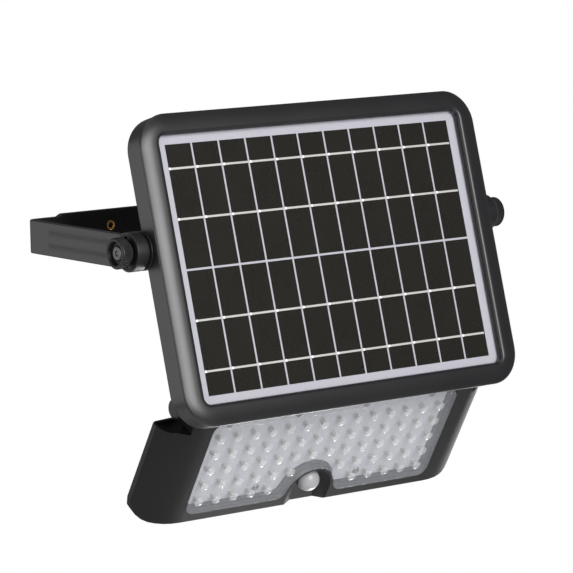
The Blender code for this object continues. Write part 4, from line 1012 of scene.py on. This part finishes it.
class BuildSensor(bpy.types.Operator):
    """Builds the frosted dome of the motion sensor"""
    bl_idname = "flood_light.sensor"
    bl_label = "Motion sensor"

    def execute(self, context):
        piece("motion_dome", [dome_surface()], "frosted dome", *ON_LAMP,
              ("sensor_dome",), "dome", 60)
        return {"FINISHED"}


CARRIED_OVER = {
    "panel_glass": "panel glass", "cell_sheet": "white back sheet", "panel_seal": "black rubber",
    "junction_box": "black trim", "charge_board": "circuit board", "charge_coil": "black trim",
    "hub_insert_left": "brass eyelet", "hub_insert_right": "brass eyelet", "led_board": "white board",
    "sensor_can": "bright steel", "sensor_board": "circuit board", "battery_cell_1": "cell wrap",
    "battery_cell_2": "cell wrap", "battery_pad": "foam", "driver_board": "circuit board",
    "button_switch": "black trim", "hinge_pin_left": "bright steel", "hinge_pin_right": "bright steel",
}


class DressNodes(bpy.types.Operator):
    """Gives the pieces kept from the frame their finishes"""
    bl_idname = "flood_light.dress"
    bl_label = "Kept pieces"

    def execute(self, context):
        for node, look in CARRIED_OVER.items():
            mesh = frame["nodes"][node].data
            mesh.materials.clear()
            mesh.materials.append(bpy.data.materials[look])
        return {"FINISHED"}


# --- stage -------------------------------------------------------------------------------------
FLOOR_Z = -0.75
FLOOR_RADIUS = 1.1
WORLD_GLOW = 0.17
SOFTBOXES = (                 # name, direction, distance, width, height, watts
    ("key strip", (-0.04, -0.935, 0.33), 1.7, 0.86, 1.3, 44.0),
    ("left fill", (-0.89, -0.41, 0.19), 1.6, 0.8, 1.2, 6.0),
    ("left flank", (-0.95, 0.24, 0.04), 1.6, 0.8, 1.2, 9.0),
    ("left wall", (-0.66, 0.74, -0.05), 1.5, 1.1, 1.2, 4.4),
    ("right wall", (0.82, 0.46, -0.32), 1.5, 0.8, 0.7, 3.0),
    ("top box", (-0.1, -0.15, 1.0), 1.5, 0.9, 0.9, 3.0),
    ("low spark", (0.47, 0.31, -0.83), 0.65, 0.16, 0.16, 2.3),
)
CAMERA_PLACE = (-1.207363, -1.698363, 0.245115)
CAMERA_AXES = ((0.79895051, -0.60110002, -0.01889033), (0.0986379, 0.09998956, 0.99008719),
               (-0.5932526, -0.79289397, 0.13917795))
CAMERA_LENS = 198.509
AIM = Vector((0.0, -0.12, -0.04))


def add_softbox(name, direction, distance, width, height, watts):
    """A rectangular softbox at a distance along a direction from the light's middle, facing it."""
    lamp = bpy.data.lights.new(name, "AREA")
    lamp.shape = "RECTANGLE"
    lamp.size = width
    lamp.size_y = height
    lamp.energy = watts
    holder = bpy.data.objects.new(name, lamp)
    bpy.context.scene.collection.objects.link(holder)
    away = Vector(direction).normalized()
    holder.location = AIM + away * distance
    holder.rotation_euler = away.to_track_quat("Z", "Y").to_euler()


def build_world(glow):
    """A white surround for the camera and an even, dimmer one for light and reflections."""
    world = bpy.data.worlds.new("studio surround")
    bpy.context.scene.world = world
    world.use_nodes = True
    tree = world.node_tree
    dim = tree.nodes["Background"]
    dim.inputs["Color"].default_value = (0.96, 0.97, 1.0, 1)
    dim.inputs["Strength"].default_value = glow
    seen = tree.nodes.new("ShaderNodeBackground")
    seen.inputs["Color"].default_value = (1, 1, 1, 1)
    seen.inputs["Strength"].default_value = 1.0
    path = tree.nodes.new("ShaderNodeLightPath")
    blend = tree.nodes.new("ShaderNodeMixShader")
    tree.links.new(path.outputs["Is Camera Ray"], blend.inputs[0])
    tree.links.new(dim.outputs[0], blend.inputs[1])
    tree.links.new(seen.outputs[0], blend.inputs[2])
    tree.links.new(blend.outputs[0], tree.nodes["World Output"].inputs["Surface"])


class BuildStage(bpy.types.Operator):
    """Sets the pale floor, the softboxes and the camera"""
    bl_idname = "flood_light.stage"
    bl_label = "Stage"

    def execute(self, context):
        radius = np.linspace(0, FLOOR_RADIUS, 12)[:, None]
        turn = np.linspace(0, 2 * np.pi, 64, endpoint=False)
        x, y = radius * np.cos(turn), radius * np.sin(turn) + AIM.y
        points, quads = grid(np.stack([x, y, np.full(x.shape, FLOOR_Z)], axis=-1), wrap=True)[:2]
        mesh = bpy.data.meshes.new("floor")
        mesh.from_pydata(points.tolist(), [], quads.tolist())
        floor = bpy.data.objects.new("floor", mesh)
        context.scene.collection.objects.link(floor)
        mesh.materials.append(grained("pale floor", (0.82, 0.82, 0.82), (0.80, 0.80, 0.80), 0.6, grain=40.0,
                                      cloud=3.0, bump=0.0))
        build_world(WORLD_GLOW)
        for softbox in SOFTBOXES:
            add_softbox(*softbox)
        view = bpy.data.cameras.new("view")
        view.sensor_width = 36.0
        view.lens = CAMERA_LENS
        view.clip_end = 20.0
        camera = bpy.data.objects.new("view", view)
        context.scene.collection.objects.link(camera)
        turn_to = Matrix([Vector(axis) for axis in CAMERA_AXES]).transposed().to_4x4()
        turn_to.translation = Vector(CAMERA_PLACE)
        camera.matrix_world = turn_to
        context.scene.camera = camera
        context.scene.view_settings.view_transform = "Standard"
        return {"FINISHED"}


OPERATORS = (BuildFinishes, BuildYoke, BuildKnobs, BuildBezel, BuildCells, BuildHousing, BuildLampShells,
             BuildLens, BuildLeds, BuildSensor, DressNodes, BuildStage)


class FloodLightPanelView(bpy.types.Panel):
    """Lists the light's sizes and the steps that build it"""
    bl_idname = "VIEW3D_PT_flood_light"
    bl_label = "Solar flood light"
    bl_space_type = "VIEW_3D"
    bl_region_type = "UI"
    bl_category = "Flood light"

    def draw(self, context):
        for name, kind in SETTINGS.items():
            box = self.layout.box()
            for setting in kind.__annotations__:
                box.prop(getattr(context.scene, name), setting)
        for operator in OPERATORS:
            self.layout.operator(operator.bl_idname)


def register():
    for kind in SETTINGS.values():
        bpy.utils.register_class(kind)
    for name, kind in SETTINGS.items():
        setattr(bpy.types.Scene, name, PointerProperty(type=kind))
    for kind in (*OPERATORS, FloodLightPanelView):
        bpy.utils.register_class(kind)


def unregister():
    for kind in (FloodLightPanelView, *reversed(OPERATORS)):
        bpy.utils.unregister_class(kind)
    for name in SETTINGS:
        delattr(bpy.types.Scene, name)
    for kind in SETTINGS.values():
        bpy.utils.unregister_class(kind)


def main():
    register()
    for operator in OPERATORS:
        group, step = operator.bl_idname.split(".")
        getattr(getattr(bpy.ops, group), step)()


if __name__ == "__main__":
    main()
